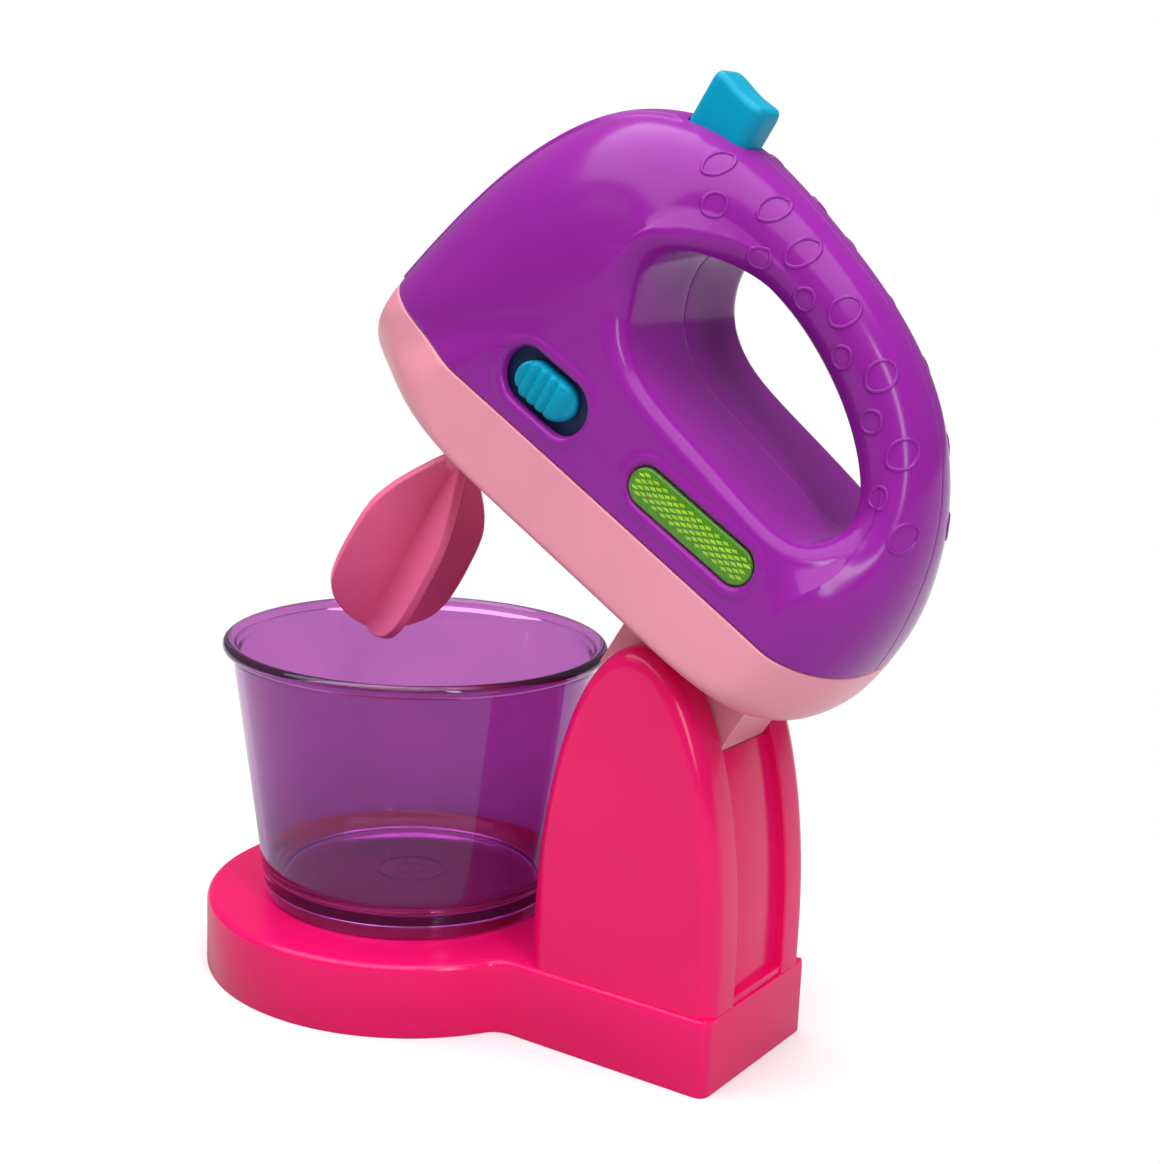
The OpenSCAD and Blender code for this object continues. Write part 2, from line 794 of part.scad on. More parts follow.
module upper_shell_left() {
    color(purple)
    in_head()
    difference() {
        upper_shell(-1);
        y_pill(slot_x, slot_z, slot_l, slot_h, -far, -side_y + wall_zone);
        y_pill(lens_x, lens_z, lens_l + lens_fit, lens_h + lens_fit, -far, -side_y + wall_zone);
    }
}
module upper_shell_right() {
    color(purple)
    in_head()
    upper_shell(1);
}
module shell_screws() {
    color(steel)
    in_head()
    for (p = shell_screw_at) {
        translate([p[0], shell_seat_y + 0.02, p[1]])
        rotate([-90, 0, 0])
        screw(shell_seat_y + shell_bite);
    }
}

// Drive

centre_d = gear_m * (pinion_z + wheel_z) / 2;
idler_x = beater_x + centre_d;
pressure = 20;
tooth_slack = 0.05;
gearbox_z = floor_z + 2;
gearbox_t = 2;
gear_z0 = gearbox_z + gearbox_t + 2;
gear_t = 4;
idler_z0 = gear_z0 + gear_t + 2.4;
idler_t = 3;
cover_z = idler_z0 + idler_t + 2.2;
motor_z = cover_z + gearbox_t + seat_gap;
gearbox_front = 9;
gearbox_rear = 10.5;
gearbox_half = 14.5;
gearbox_edge = 2.8;
gearbox_post = [
    for (x = [beater_x - gearbox_front, idler_x + gearbox_rear], s = [-1, 1])
    [x, s * (x < beater_x ? gearbox_half : gearbox_half - 1.5)]
];
gearbox_screw_l = 9;
cup_h = 10;
axle_r = 1.2;
motor_shaft_r = 1;
spindle_r = 2.5;
spindle_top = gear_z0 + gear_t + 0.6;
hub_top = keel_z - 1.1;

function involute_turn(a) = tan(a) - a * PI / 180;
// Half of a tooth's angle at radius r, for a gear of z teeth
function tooth_half(z, r) =
    let (rp = gear_m * z / 2, rb = rp * cos(pressure), a = r > rb ? acos(rb / r) : 0)
    90 / z - (tooth_slack / rp + involute_turn(a) - involute_turn(pressure)) * 180 / PI;
module gear_form(z, addendum, h) {
    rp = gear_m * z / 2;
    rb = rp * cos(pressure);
    rf = rp - 1.25 * gear_m;
    ra = rp + addendum;
    start = max(rb, rf);
    radii = [rf, for (i = [0:3]) start + (ra - start) * i / 3];
    linear_extrude(h)
    polygon([
        for (k = [0:z - 1])
        each concat(
            [for (r = radii) r * [cos(k * 360 / z - tooth_half(z, r)), sin(k * 360 / z - tooth_half(z, r))]],
            [for (i = [4:-1:0]) radii[i] * [
                cos(k * 360 / z + tooth_half(z, radii[i])), sin(k * 360 / z + tooth_half(z, radii[i]))
            ]]
        )
    ]);
}
pinion_addendum = gear_m;
wheel_addendum = 0.8 * gear_m;

module gearbox_plate(z0) {
    y = gearbox_half + gearbox_edge;
    block(
        beater_x - gearbox_front - gearbox_edge, idler_x + gearbox_rear + gearbox_edge, -y, y,
        z0, z0 + gearbox_t
    );
}
module gearbox_base() {
    color(white_nylon)
    in_head()
    difference() {
        union() {
            gearbox_plate(gearbox_z);
            for (p = gearbox_post) {
                z_cyl(p[0], p[1], 2.6, floor_z + seat_gap, cover_z - seat_gap);
            }
        }
        for (p = gearbox_post) {
            z_cyl(p[0], p[1], pilot_r, cover_z - gearbox_screw_l, far);
        }
        z_cyl(idler_x, 0, axle_r + 0.02, gearbox_z + 0.5, far);
        z_cyl(beater_x, 0, bush_r + seat_gap, 0, far);
    }
}
module gearbox_cover() {
    ring_r = motor_d / 2 + 0.1;
    color(white_nylon)
    in_head()
    difference() {
        union() {
            gearbox_plate(cover_z);
            z_cyl(beater_x, 0, ring_r + 1.6, cover_z, cover_z + cup_h);
        }
        z_cyl(beater_x, 0, ring_r, cover_z + gearbox_t, far);
        z_cyl(beater_x, 0, 3.6, 0, far);
        z_cyl(idler_x, 0, axle_r + 0.02, 0, far);
        for (p = gearbox_post) {
            z_cyl(p[0], p[1], screw_hole_r, 0, far);
        }
    }
}
module gearbox_screws() {
    color(steel)
    in_head()
    for (p = gearbox_post) {
        translate([p[0], p[1], cover_z + gearbox_t + 0.02])
        screw(gearbox_screw_l);
    }
}
module gear_axle() {
    color(steel)
    in_head()
    z_cyl(idler_x, 0, axle_r, gearbox_z + 0.6, cover_z + gearbox_t);
}
module spindle_bush() {
    color([0.72, 0.55, 0.3])
    in_head()
    difference() {
        union() {
            z_cyl(beater_x, 0, bush_r, keel_z, gear_z0 - 0.5);
            z_cyl(beater_x, 0, 6, floor_z + seat_gap, gearbox_z - seat_gap);
        }
        z_cyl(beater_x, 0, spindle_r + run_gap, 0, far);
    }
}
module motor() {
    r = motor_d / 2;
    color(steel)
    in_head()
    difference() {
        union() {
            z_cyl(beater_x, 0, r, motor_z, motor_z + motor_l);
            z_cyl(beater_x, 0, 3.2, motor_z - 1.4, motor_z);
            z_cyl(beater_x, 0, 3.2, motor_z + motor_l, motor_z + motor_l + 1.6);
            for (s = [-1, 1]) {
                block(
                    beater_x - 1, beater_x + 1, s * 6.5 - 0.25, s * 6.5 + 0.25,
                    motor_z + motor_l - over, motor_z + motor_l + 3
                );
            }
        }
        z_cyl(beater_x, 0, motor_shaft_r + run_gap, 0, motor_z + 12);
    }
}
module motor_pinion() {
    color([0.85, 0.8, 0.7])
    in_head()
    translate([beater_x, 0, 0]) {
        difference() {
            translate([0, 0, idler_z0 - 0.6])
            rotate([0, 0, 180 / pinion_z])
            gear_form(pinion_z, pinion_addendum, idler_t + 1.2);
            z_cyl(0, 0, motor_shaft_r, 0, far);
        }
        z_cyl(0, 0, motor_shaft_r, idler_z0 - 0.6, motor_z + 11.5);
    }
}
module idler_gear() {
    color(white_nylon)
    in_head()
    translate([idler_x, 0, 0])
    difference() {
        union() {
            translate([0, 0, idler_z0])
            rotate([0, 0, 180])
            gear_form(wheel_z, wheel_addendum, idler_t);
            translate([0, 0, gear_z0 - 0.4])
            rotate([0, 0, 180 + 180 / pinion_z])
            gear_form(pinion_z, pinion_addendum, idler_z0 - gear_z0 + 0.5);
            z_cyl(0, 0, 2.8, gearbox_z + gearbox_t + 0.3, cover_z - 0.3);
        }
        z_cyl(0, 0, axle_r + run_gap, 0, far);
    }
}
module output_gear() {
    color(white_nylon)
    in_head()
    translate([beater_x, 0, 0])
    difference() {
        union() {
            translate([0, 0, gear_z0])
            gear_form(wheel_z, wheel_addendum, gear_t);
            z_cyl(0, 0, 5, gear_z0 - 0.3, gear_z0 + gear_t + 0.4);
        }
        z_cyl(0, 0, spindle_r + 0.02, 0, far);
    }
}
module drive_spindle() {
    color(steel)
    in_head()
    translate([beater_x, 0, 0])
    difference() {
        union() {
            z_cyl(0, 0, spindle_r, hub_top - 9, spindle_top);
            z_cyl(0, 0, spindle_r + 1.2, hub_top + 0.2, keel_z - 0.3);
        }
        for (s = [0, 180]) {
            rotate([0, 0, s])
            block(spindle_r - 0.6, far, -far, far, -far, hub_top);
        }
    }
}

// Beater: two crossed leaves on a hub, their outline as [distance from the axis, height]

leaf = [
    [3.2, 12], [3.9, 7.6], [7, 3.6], [10.6, -1], [14, -6.2], [16.4, -11.5], [17.4, -16.5],
    [17.8, -22], [18, -28], [17.8, -34], [17.1, -38.4], [15.6, -42], [13.3, -45], [9.4, -48],
    [5, -50], [1.6, -51]
];
drawn_vane = 18;
drawn_tip = 51;
vane_turn = 55;
hub_r = 4.4;

function leaf_at(p) = [p[0] * vane_r / drawn_vane, p[1] < 0 ? p[1] * tip_depth / drawn_tip : p[1]];
module beater() {
    edge = [for (p = leaf) leaf_at(p)];
    both = concat(edge, [for (i = [len(edge) - 1:-1:0]) [-edge[i][0], edge[i][1]]]);
    color([0.86, 0.29, 0.47])
    in_head()
    translate([beater_x, 0, 0])
    difference() {
        union() {
            for (a = [0, 90]) {
                rotate([0, 0, vane_turn + a])
                translate([0, vane_t / 2, 0])
                rotate([90, 0, 0])
                linear_extrude(vane_t)
                polygon(both);
            }
            z_cyl(0, 0, hub_r, 7, hub_top);
            translate([0, 0, 7])
            sphere(hub_r);
        }
        intersection() {
            z_cyl(0, 0, spindle_r + run_gap, hub_top - 9.3, far);
            block(-spindle_r + 0.5, spindle_r - 0.5, -far, far, 0, hub_top + over);
        }
    }
}

// Lights and controls

recess_seat = 3.5;
recess_y = -side_y + recess_seat;
recess_t = 1.4;
lens_seat = 1.95;
lens_seat_y = -side_y + lens_seat;
lens_lip_t = 1.4;
lens_rise = 1.2;
lens_back_y = lens_seat_y + lens_lip_t;
slider_rise = 1;
reflector_d = 4.6;
led_r = 2.5;
stem_w = 5;
stem_h = 3;

module lens() {
    color(green)
    in_head() {
        y_pill(lens_x, lens_z, lens_l, lens_h, -side_y - lens_rise, lens_seat_y + 0.2);
        y_pill(lens_x, lens_z, lens_l + 3, lens_h + 3, lens_seat_y, lens_back_y);
    }
}
module reflector() {
    color(white_nylon)
    in_head()
    difference() {
        y_pill(lens_x, lens_z, lens_l - 2, lens_h, lens_back_y + 0.05, lens_back_y + reflector_d);
        y_pill(lens_x, lens_z, lens_l - 5, lens_h - 2.4, lens_back_y, lens_back_y + reflector_d - 1.2);
        y_cyl(lens_x, lens_z, led_r + 0.05, -far, far);
    }
}
module led() {
    seat_y = lens_back_y + reflector_d;
    color([0.9, 0.95, 0.9])
    in_head() {
        y_cyl(lens_x, lens_z, led_r, lens_back_y + 2, seat_y + 1);
        y_cyl(lens_x, lens_z, led_r + 0.5, seat_y + 0.05, seat_y + 1.4);
        for (s = [-1, 1]) {
            y_cyl(lens_x + s * 1.25, lens_z, 0.3, seat_y + 1, seat_y + 8);
        }
    }
}
// Room for the slider's stem over its whole travel, up to the depth y
module stem_slot(y) {
    l = stem_w + 2 * slider_travel + 1;
    h = stem_h + 1;
    block(slot_x - l / 2, slot_x + l / 2, -far, y, slot_z - h / 2, slot_z + h / 2);
}
module switch_recess() {
    color(dark)
    in_head()
    difference() {
        y_pill(slot_x, slot_z, slot_l + 4, slot_h + 4, recess_y, recess_y + recess_t);
        stem_slot(far);
    }
}
module slide_switch() {
    y0 = recess_y + recess_t + 0.05;
    color(steel)
    in_head()
    difference() {
        block(slot_x - 10, slot_x + 10, y0, y0 + 8, slot_z - 4, slot_z + 4);
        stem_slot(y0 + 4);
    }
}
module power_slider() {
    y0 = -side_y - slider_rise;
    y1 = recess_y - 0.4;
    rib = 1.6;
    pitch = (slider_l - 4) / 4;
    color(turquoise)
    in_head() {
        difference() {
            y_pill(slot_x, slot_z, slider_l, slider_h, y0, y1);
            for (i = [-1.5:1:1.5]) {
                block(
                    slot_x + i * pitch - (pitch - rib) / 2, slot_x + i * pitch + (pitch - rib) / 2,
                    y0 - over, y0 + 1.2, -far, far
                );
            }
        }
        block(
            slot_x - stem_w / 2, slot_x + stem_w / 2, y1 - over, recess_y + recess_t + 3,
            slot_z - stem_h / 2, slot_z + stem_h / 2
        );
    }
}
module circuit_board() {
    color([0.1, 0.45, 0.25])
    in_head()
    difference() {
        union() {
            block(board_x0, board_x1, -board_y, board_y, board_z, board_z + board_t);
            block(-42, -34, 2, 10, board_z, board_z + board_t + 1.6);
            z_cyl(-28, -6, 2.5, board_z, board_z + board_t + 7);
            block(-46, -40, -9, -6, board_z, board_z + board_t + 1);
        }
        for (p = board_post) {
            z_cyl(p[0], p[1], 1.3, board_z - over, far);
        }
    }
}

guide_drop = 14.5;
guide_z = crown_z - guide_drop;
guide_t = 2;
spring_room = 7.4;
stem_r = 2.5;
stop_r = 3.6;
stem_end_z = guide_z - 3;
switch_top_z = stem_end_z - button_travel - 0.4;
switch_body_h = 7;
button_base_z = guide_z + guide_t + spring_room;

module button_guide() {
    gx = button_l / 2 + move_gap + 1.8;
    gy = button_w / 2 + move_gap + 1.8;
    low = switch_top_z - switch_body_h;
    color(white_nylon)
    in_head()
    difference() {
        union() {
            intersection() {
                head_form(head_wall + 0.1);
                block(button_x - gx, button_x + gx, -gy, gy, guide_z, far);
            }
            block(button_x - 6.4, button_x + 6.4, -4, 4, low, guide_z + over);
        }
        button_pocket(move_gap, guide_z + guide_t);
        block(button_x - 4.6, button_x + 4.6, -far, far, low + 1.6, guide_z);
        z_cyl(button_x, 0, stem_r + run_gap, 0, far);
    }
}
module button_switch() {
    low = switch_top_z - switch_body_h;
    color([0.15, 0.15, 0.17])
    in_head() {
        block(button_x - 3, button_x + 3, -3, 3, low + 1.65, switch_top_z - 1);
        z_cyl(button_x, 0, 1.5, switch_top_z - 1.5, switch_top_z);
    }
}

// Height of the button's top above the crown, drawn for the nose end, the saddle and the back end
button_wave = [10.5, 10.5, 9.9, 9.3, 9, 9, 9.1];
drawn_button = 10.5;
button_corner = 3;
button_round = 1.6;

// Rounded rectangle around the middle of the button, grown by g
function button_plan(g) =
    let (x = button_l / 2 - button_corner, y = button_w / 2 - button_corner)
    [
        for (q = [[1, 1, 0], [-1, 1, 90], [-1, -1, 180], [1, -1, 270]], a = [0:15:90])
        [q[0] * x, q[1] * y] + (button_corner + g) * [cos(q[2] + a), sin(q[2] + a)]
    ];
module button_pocket(g, z0) {
    translate([button_x, 0, z0])
    linear_extrude(far)
    polygon(button_plan(g));
}
// Section across the button at x from its middle: straight sides, then a rounded top
function button_section(x) =
    let (
        past_corner = max(abs(x) - button_l / 2 + button_corner, 0),
        past_edge = max(abs(x) - button_l / 2 + button_round, 0),
        half = button_w / 2 - button_corner + sqrt(pow(button_corner, 2) - pow(past_corner, 2)),
        u = (x / button_l + 0.5) * (len(button_wave) - 1),
        i = min(floor(u), len(button_wave) - 2),
        rise = button_wave[i] + (button_wave[i + 1] - button_wave[i]) * (u - i),
        drop = button_round - sqrt(pow(button_round, 2) - pow(past_edge, 2)),
        top = crown_z + rise * button_h / drawn_button - drop
    )
    [
        [button_x + x, -half, button_base_z],
        for (a = [0:30:90])
        [button_x + x, -half + button_round * (1 - cos(a)), top - button_round * (1 - sin(a))],
        for (a = [90:-30:0])
        [button_x + x, half - button_round * (1 - cos(a)), top - button_round * (1 - sin(a))],
        [button_x + x, half, button_base_z]
    ];
module top_button() {
    corner_x = button_l / 2 - button_corner;
    stations = concat(
        [for (a = [90:-18:18]) -corner_x - button_corner * sin(a)],
        [for (k = [0:6]) corner_x * (k / 3 - 1)],
        [for (a = [18:18:90]) corner_x + button_corner * sin(a)]
    );
    color(turquoise)
    in_head() {
        loft([for (x = stations) button_section(x)]);
        z_cyl(button_x, 0, stem_r, stem_end_z, button_base_z + over);
        z_cyl(button_x, 0, stop_r, guide_z - 2.3, guide_z - 0.3);
    }
}

// Coil spring around the button's stem
spring_wire_r = 0.35;
spring_r = stem_r + 1.2;
spring_turns = 4;
spring_z0 = guide_z + guide_t + spring_wire_r + 0.05;
spring_z1 = button_base_z - spring_wire_r - 0.05;
spring_gap = (spring_z1 - spring_z0) / spring_turns - 2 * spring_wire_r;
echo(spring_gap = spring_gap);

module button_spring() {
    steps = 8 * spring_turns;
    rings = [
        for (i = [0:steps])
        let (a = i * 360 / 8, z = spring_z0 + (spring_z1 - spring_z0) * i / steps)
        [
            for (j = [0:5])
            let (r = spring_r + spring_wire_r * cos(j * 60))
            [button_x + r * cos(a), r * sin(a), z + spring_wire_r * sin(j * 60)]
        ]
    ];
    color(steel)
    in_head()
    loft(rings);
}

base_shell();
base_plate();
base_screws();
tower_left();
tower_right();
tower_core();
tower_screws();
hinge_pin();
hinge_washers();
bowl();
tilt_neck();
neck_screws();
lower_shell();
upper_shell_left();
upper_shell_right();
shell_screws();
tray_screws();
battery_door();
door_screw();
batteries();
battery_contacts();
gearbox_base();
gearbox_cover();
gearbox_screws();
gear_axle();
spindle_bush();
motor();
circuit_board();
led();
lens();
reflector();
switch_recess();
slide_switch();
button_guide();
button_spring();
button_switch();
output_gear();
drive_spindle();
beater();
idler_gear();
motor_pinion();
power_slider();
top_button();
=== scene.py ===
"""Toy stand mixer: the looks of its moulded parts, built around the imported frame."""

import json
import math

import bmesh
import bpy
import numpy as np
from mathutils import Matrix, Vector


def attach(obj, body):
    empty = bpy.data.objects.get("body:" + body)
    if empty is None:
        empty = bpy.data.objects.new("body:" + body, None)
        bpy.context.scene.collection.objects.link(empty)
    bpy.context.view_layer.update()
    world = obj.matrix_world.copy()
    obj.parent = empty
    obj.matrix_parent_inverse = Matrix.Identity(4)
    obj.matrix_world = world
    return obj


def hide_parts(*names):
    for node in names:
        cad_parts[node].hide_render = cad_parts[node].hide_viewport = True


bl_info = {
    "name": "Toy stand mixer",
    "version": (1, 0, 0),
    "blender": (4, 5, 0),
    "location": "View3D > Sidebar > Mixer",
    "description": "Builds a toy stand mixer with a bowl, a tilting head and a beater",
    "category": "Add Mesh",
}

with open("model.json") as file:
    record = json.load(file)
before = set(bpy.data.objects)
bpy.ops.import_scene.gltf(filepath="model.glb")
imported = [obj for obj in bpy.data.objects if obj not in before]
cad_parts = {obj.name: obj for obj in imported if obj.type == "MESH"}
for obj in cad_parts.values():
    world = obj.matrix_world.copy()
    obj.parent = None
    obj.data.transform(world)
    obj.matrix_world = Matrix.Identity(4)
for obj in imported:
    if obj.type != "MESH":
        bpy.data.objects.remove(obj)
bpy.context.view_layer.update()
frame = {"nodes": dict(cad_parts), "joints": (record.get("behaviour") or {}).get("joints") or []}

# Shapes are drawn in millimetres, either upright or along the head, and placed by a matrix
MM = 0.001
JOINTS = {joint["name"]: joint for joint in frame["joints"]}
HINGE = Vector(JOINTS["head_tilt"]["pos_m"])
LEAN = math.radians(-JOINTS["head_tilt"]["range_deg"][0])
UPRIGHT = Matrix.Scale(MM, 4)
HEAD = Matrix.Translation(HINGE) @ Matrix.Rotation(LEAN, 4, "Y") @ UPRIGHT


def drawn_box(node, place):
    """Lowest and highest corner of a CAD node in the millimetres of a drawing."""
    back = np.array(place.inverted())
    mesh = frame["nodes"][node].data
    points = np.zeros(len(mesh.vertices) * 3, np.float32)
    mesh.vertices.foreach_get("co", points)
    points = points.reshape(-1, 3) @ back[:3, :3].T + back[:3, 3]
    return points.min(0), points.max(0)


def tint(red, green, blue):
    """A colour written from 0 to 255, as the linear values that a shader takes."""
    return tuple(
        c / 12.92 if c <= 0.04045 else ((c + 0.055) / 1.055) ** 2.4
        for c in (red / 255, green / 255, blue / 255)
    )


# Places read from the frame
TRAY_LOW, TRAY_HIGH = drawn_box("lower_shell", HEAD)
RECESS_LOW, RECESS_HIGH = drawn_box("switch_recess", HEAD)
SLIDER_LOW, SLIDER_HIGH = drawn_box("power_slider", HEAD)
LENS_LOW, LENS_HIGH = drawn_box("lens", HEAD)
BUTTON_LOW, BUTTON_HIGH = drawn_box("top_button", HEAD)
BASE_LOW, BASE_HIGH = drawn_box("base_shell", UPRIGHT)
EAR_LOW, EAR_HIGH = drawn_box("tower_left", UPRIGHT)
BOWL_LOW, BOWL_HIGH = drawn_box("bowl", UPRIGHT)
BEATER_LOW, BEATER_HIGH = drawn_box("beater", HEAD)
SPINDLE_LOW, SPINDLE_HIGH = drawn_box("drive_spindle", HEAD)
HINGE_X = HINGE.x / MM
HINGE_Z = HINGE.z / MM

# The tray's highest points are its board posts, which stand this far above the parting line
BOARD_POSTS_H = 5.4
PART_Z = TRAY_HIGH[2] - BOARD_POSTS_H
# Past every surface of the object, for tools that cut right through
FAR = 300.0


# Mesh helpers

def new_piece(name, points, faces, place):
    """A mesh object with its faces turned outwards, from points in a drawing's millimetres."""
    mesh = bpy.data.meshes.new(name)
    mesh.from_pydata(np.asarray(points, float).tolist(), [], [list(f) for f in faces])
    bm = bmesh.new()
    bm.from_mesh(mesh)
    bmesh.ops.remove_doubles(bm, verts=bm.verts, dist=1e-4)
    bmesh.ops.recalc_face_normals(bm, faces=bm.faces)
    bm.to_mesh(mesh)
    bm.free()
    piece = bpy.data.objects.new(name, mesh)
    bpy.context.scene.collection.objects.link(piece)
    mesh.transform(place)
    return piece


def grid_faces(rows, cols, closed=False):
    """Quads between neighbours in rings of points, and back to the first ring if closed."""
    i = np.arange(rows if closed else rows - 1)[:, None]
    j = np.arange(cols)
    ahead = (i + 1) % rows
    beside = (j + 1) % cols
    corners = [i * cols + j, i * cols + beside, ahead * cols + beside, ahead * cols + j]
    return np.stack(corners, -1).reshape(-1, 4).tolist()


def loft(name, rings, place, flat_end=True):
    """A solid through rings of equal length, whose last is closed flat or drawn to a line."""
    rings = np.asarray(rings, float)
    rows, cols = rings.shape[:2]
    faces = grid_faces(rows, cols) + [list(range(cols))]
    if flat_end:
        faces.append([(rows - 1) * cols + j for j in range(cols)])
    return new_piece(name, rings.reshape(-1, 3), faces, place)


def ring_solid(name, rings, place):
    """A solid through rings that follow each other round a loop."""
    rings = np.asarray(rings, float)
    rows, cols = rings.shape[:2]
    return new_piece(name, rings.reshape(-1, 3), grid_faces(rows, cols, True), place)


AXIS_R = 0.02  # the least radius that lathe takes


def lathe(name, profile, place, steps, centre_x=0):
    """A closed profile of [radius, height] points turned about the upright axis."""
    profile = np.asarray(profile, float)
    turn = np.linspace(0, 2 * math.pi, steps, endpoint=False)[:, None]
    x = centre_x + profile[:, 0] * np.cos(turn)
    y = profile[:, 0] * np.sin(turn)
    return ring_solid(name, np.stack([x, y, profile[:, 1] + 0 * turn], -1), place)


def arc(centre, radius, start, end, steps):
    """Points on an arc, angles in degrees."""
    turn = np.radians(np.linspace(start, end, steps + 1))
    return np.stack([centre[0] + radius * np.cos(turn), centre[1] + radius * np.sin(turn)], -1)


def block(x0, x1, y0, y1, z0, z1, place):
    """A plain box, used only as a tool that cuts or fills."""
    plan = [(x0, y0), (x1, y0), (x1, y1), (x0, y1)]
    return loft("tool", [[(x, y, z) for x, y in plan] for z in (z0, z1)], place)


def rod(axis, first, second, radius, start, end, place, steps=48):
    """A cylinder along z at [x, y], or along y at [x, z], used as a tool."""
    plan = arc((first, second), radius, 0, 360, steps)[:-1]
    return loft("tool", [
        [(a, b, t) if axis == "z" else (a, t, b) for a, b in plan] for t in (start, end)
    ], place)


def pill_line(x, z, length, height, steps=28, straight=40):
    """A stadium lying along x around [x, z]."""
    r = height / 2
    half = (length - height) / 2
    run = np.linspace(-half, half, straight + 1)[1:-1]
    return np.concatenate([
        arc((x + half, z), r, -90, 90, steps),
        np.stack([x - run, np.full(len(run), z + r)], -1),
        arc((x - half, z), r, 90, 270, steps),
        np.stack([x + run, np.full(len(run), z - r)], -1),
    ])


def rods(axis, places, radius, start, end, place):
    """Like cylinders at several places, used as tools."""
    return [rod(axis, a, b, radius, start, end, place) for a, b in places]


def pill(x, z, length, height, y0, y1):
    """A stadium-shaped tool in the head's side, from y0 to y1."""
    line = pill_line(x, z, length, height)
    return loft("tool", [[(a, y, b) for a, b in line] for y in (y0, y1)], HEAD)


def settle(piece):
    """Gives a piece the mesh that its modifiers make of it."""
    view = bpy.context.evaluated_depsgraph_get()
    piece.data = bpy.data.meshes.new_from_object(piece.evaluated_get(view))
    piece.modifiers.clear()


def combine(piece, operation, tools):
    """Unites, cuts or intersects a piece with tools, which are used up."""
    for tool in tools:
        step = piece.modifiers.new("step", "BOOLEAN")
        step.operation = operation
        step.solver = "MANIFOLD"
        step.object = tool
    settle(piece)
    for tool in tools:
        bpy.data.objects.remove(tool)
    if not piece.data.polygons:
        raise RuntimeError(piece.name + " was left with no faces")
    return piece


def soften(piece, width, segments):
    """Rounds a piece's edges, in millimetres."""
    step = piece.modifiers.new("edges", "BEVEL")
    step.width = width * MM
    step.segments = segments
    step.limit_method = "ANGLE"
    step.angle_limit = math.radians(40)
    step.use_clamp_overlap = True
    settle(piece)
    return piece


def finish_piece(piece, name, material, body, nodes, smooth):
    """Names and shades a piece, and ties it to its body and to the CAD nodes it stands for."""
    piece.name = name
    piece.data.name = name
    piece.data.materials.clear()
    piece.data.materials.append(material)
    piece.data.shade_smooth()
    piece.data.set_sharp_from_angle(angle=math.radians(smooth))
    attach(piece, body)
    if nodes:
        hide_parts(*nodes)
    return piece


# Outline of the head in side view, from the hinge pin, nose to the left. Each outline point is
# paired with one on the handle hole, and a spoke runs between the two.
OUTLINE = [
    [-20, 18], [-60, 18], [-95, 18], [-115, 18], [-123.2, 20.2], [-125.6, 26],
    [-125, 33.4], [-123.2, 41], [-119.3, 55], [-112, 76], [-101.5, 95.5], [-87.5, 110.6],
    [-67, 118], [-47.5, 116.8], [-30, 113.4], [-12.6, 108.6], [5, 100.3], [18, 88.8],
    [28, 72.5], [32.6, 54], [33.4, 40], [31.6, 26.4], [25.8, 19.6], [10, 18],
]
HOLE = [
    [-22, 63.8], [-40, 66.2], [-49, 70.6], [-52.5, 74.4], [-54, 77], [-55, 79.5],
    [-55.8, 81.8], [-56.3, 84], [-56.6, 87], [-56.2, 90.5], [-54.4, 93.8], [-51, 96.3],
    [-45, 97], [-38, 96.4], [-28.5, 94.3], [-18.5, 90.9], [-7, 85.4], [3.5, 77.6],
    [10.2, 70], [12.6, 65.5], [10.5, 61.5], [5, 60.3], [-3, 61.2], [-11, 62.3],
]
# Half widths of the head along each spoke: at the hole and at the outline
HALF_WIDTH = [
    [29.2, 29.6], [28.9, 28.8], [28.7, 28.5], [28.6, 28.6], [28.6, 28.7], [28.6, 28.7],
    [28.6, 28.7], [28.6, 28.7], [28.6, 28.6], [28.5, 28.3], [28, 27.5], [26.5, 25.5],
    [21.5, 19.5], [15.5, 14.5], [12.6, 12.6], [12, 12], [12, 12], [12.2, 12.2],
    [14.5, 15], [21, 23], [26, 29], [28.5, 30.2], [29.2, 30.4], [29.4, 30.2],
]
# Roundings along each spoke: depth and height at the hole, depth and power at the outline
ROUNDING = [
    [4, 4, 5, 4], [4, 4, 5, 4], [4.5, 4.5, 10, 3.4], [5.5, 5.5, 58, 2.4], [6.2, 6.2, 79, 2.2],
    [6.8, 6.8, 78, 2.2], [7, 7, 75, 2.2], [7, 7, 71, 2.2], [7, 7, 62, 2.2], [6.8, 6.8, 50, 2.2],
    [6.5, 6.5, 40, 2.2], [6.8, 7.5, 30, 2.2], [7.5, 11, 17, 2.2], [8.6, 13.5, 12, 2.2],
    [9, 12.6, 9.8, 2.2], [9, 12, 9.4, 2.2], [9, 12, 9.6, 2.2], [8.8, 12.2, 9.2, 2.2],
    [8, 12, 9.6, 2.2], [6, 8, 14, 2.2], [4.5, 5, 22, 2.2], [4, 4, 26, 2.3], [4, 4, 16, 3],
    [4, 4, 6, 4],
]
SPOKES = 384
ROOM_SPOKES = 96
EVENED_OVER = 0.4
# Least flat beside a hole rounding, least rounding, and least flat between the two roundings
FLAT_MIN = 1.2
ROUND_MIN = 0.6
RUN_MIN = 0.3
# Gap between the tray and the shells, and the half gap between the two shells
SEAM_GAP = 0.3
SPLIT_HALF = 0.03
# Steps of a half section: over the parting edge's 0.4 mm, and down the nose to the parting
SEAM_STEPS = 0.4 * np.array([0, 0.05, 0.2, 0.45, 0.75, 1.0])
NOSE_STEPS = [9, 8.4, 8.1, 7.9, 7.7, 7.5, 7.3, 7.1, 6.8, 6, 5, 4, 3, 2, 1.2]
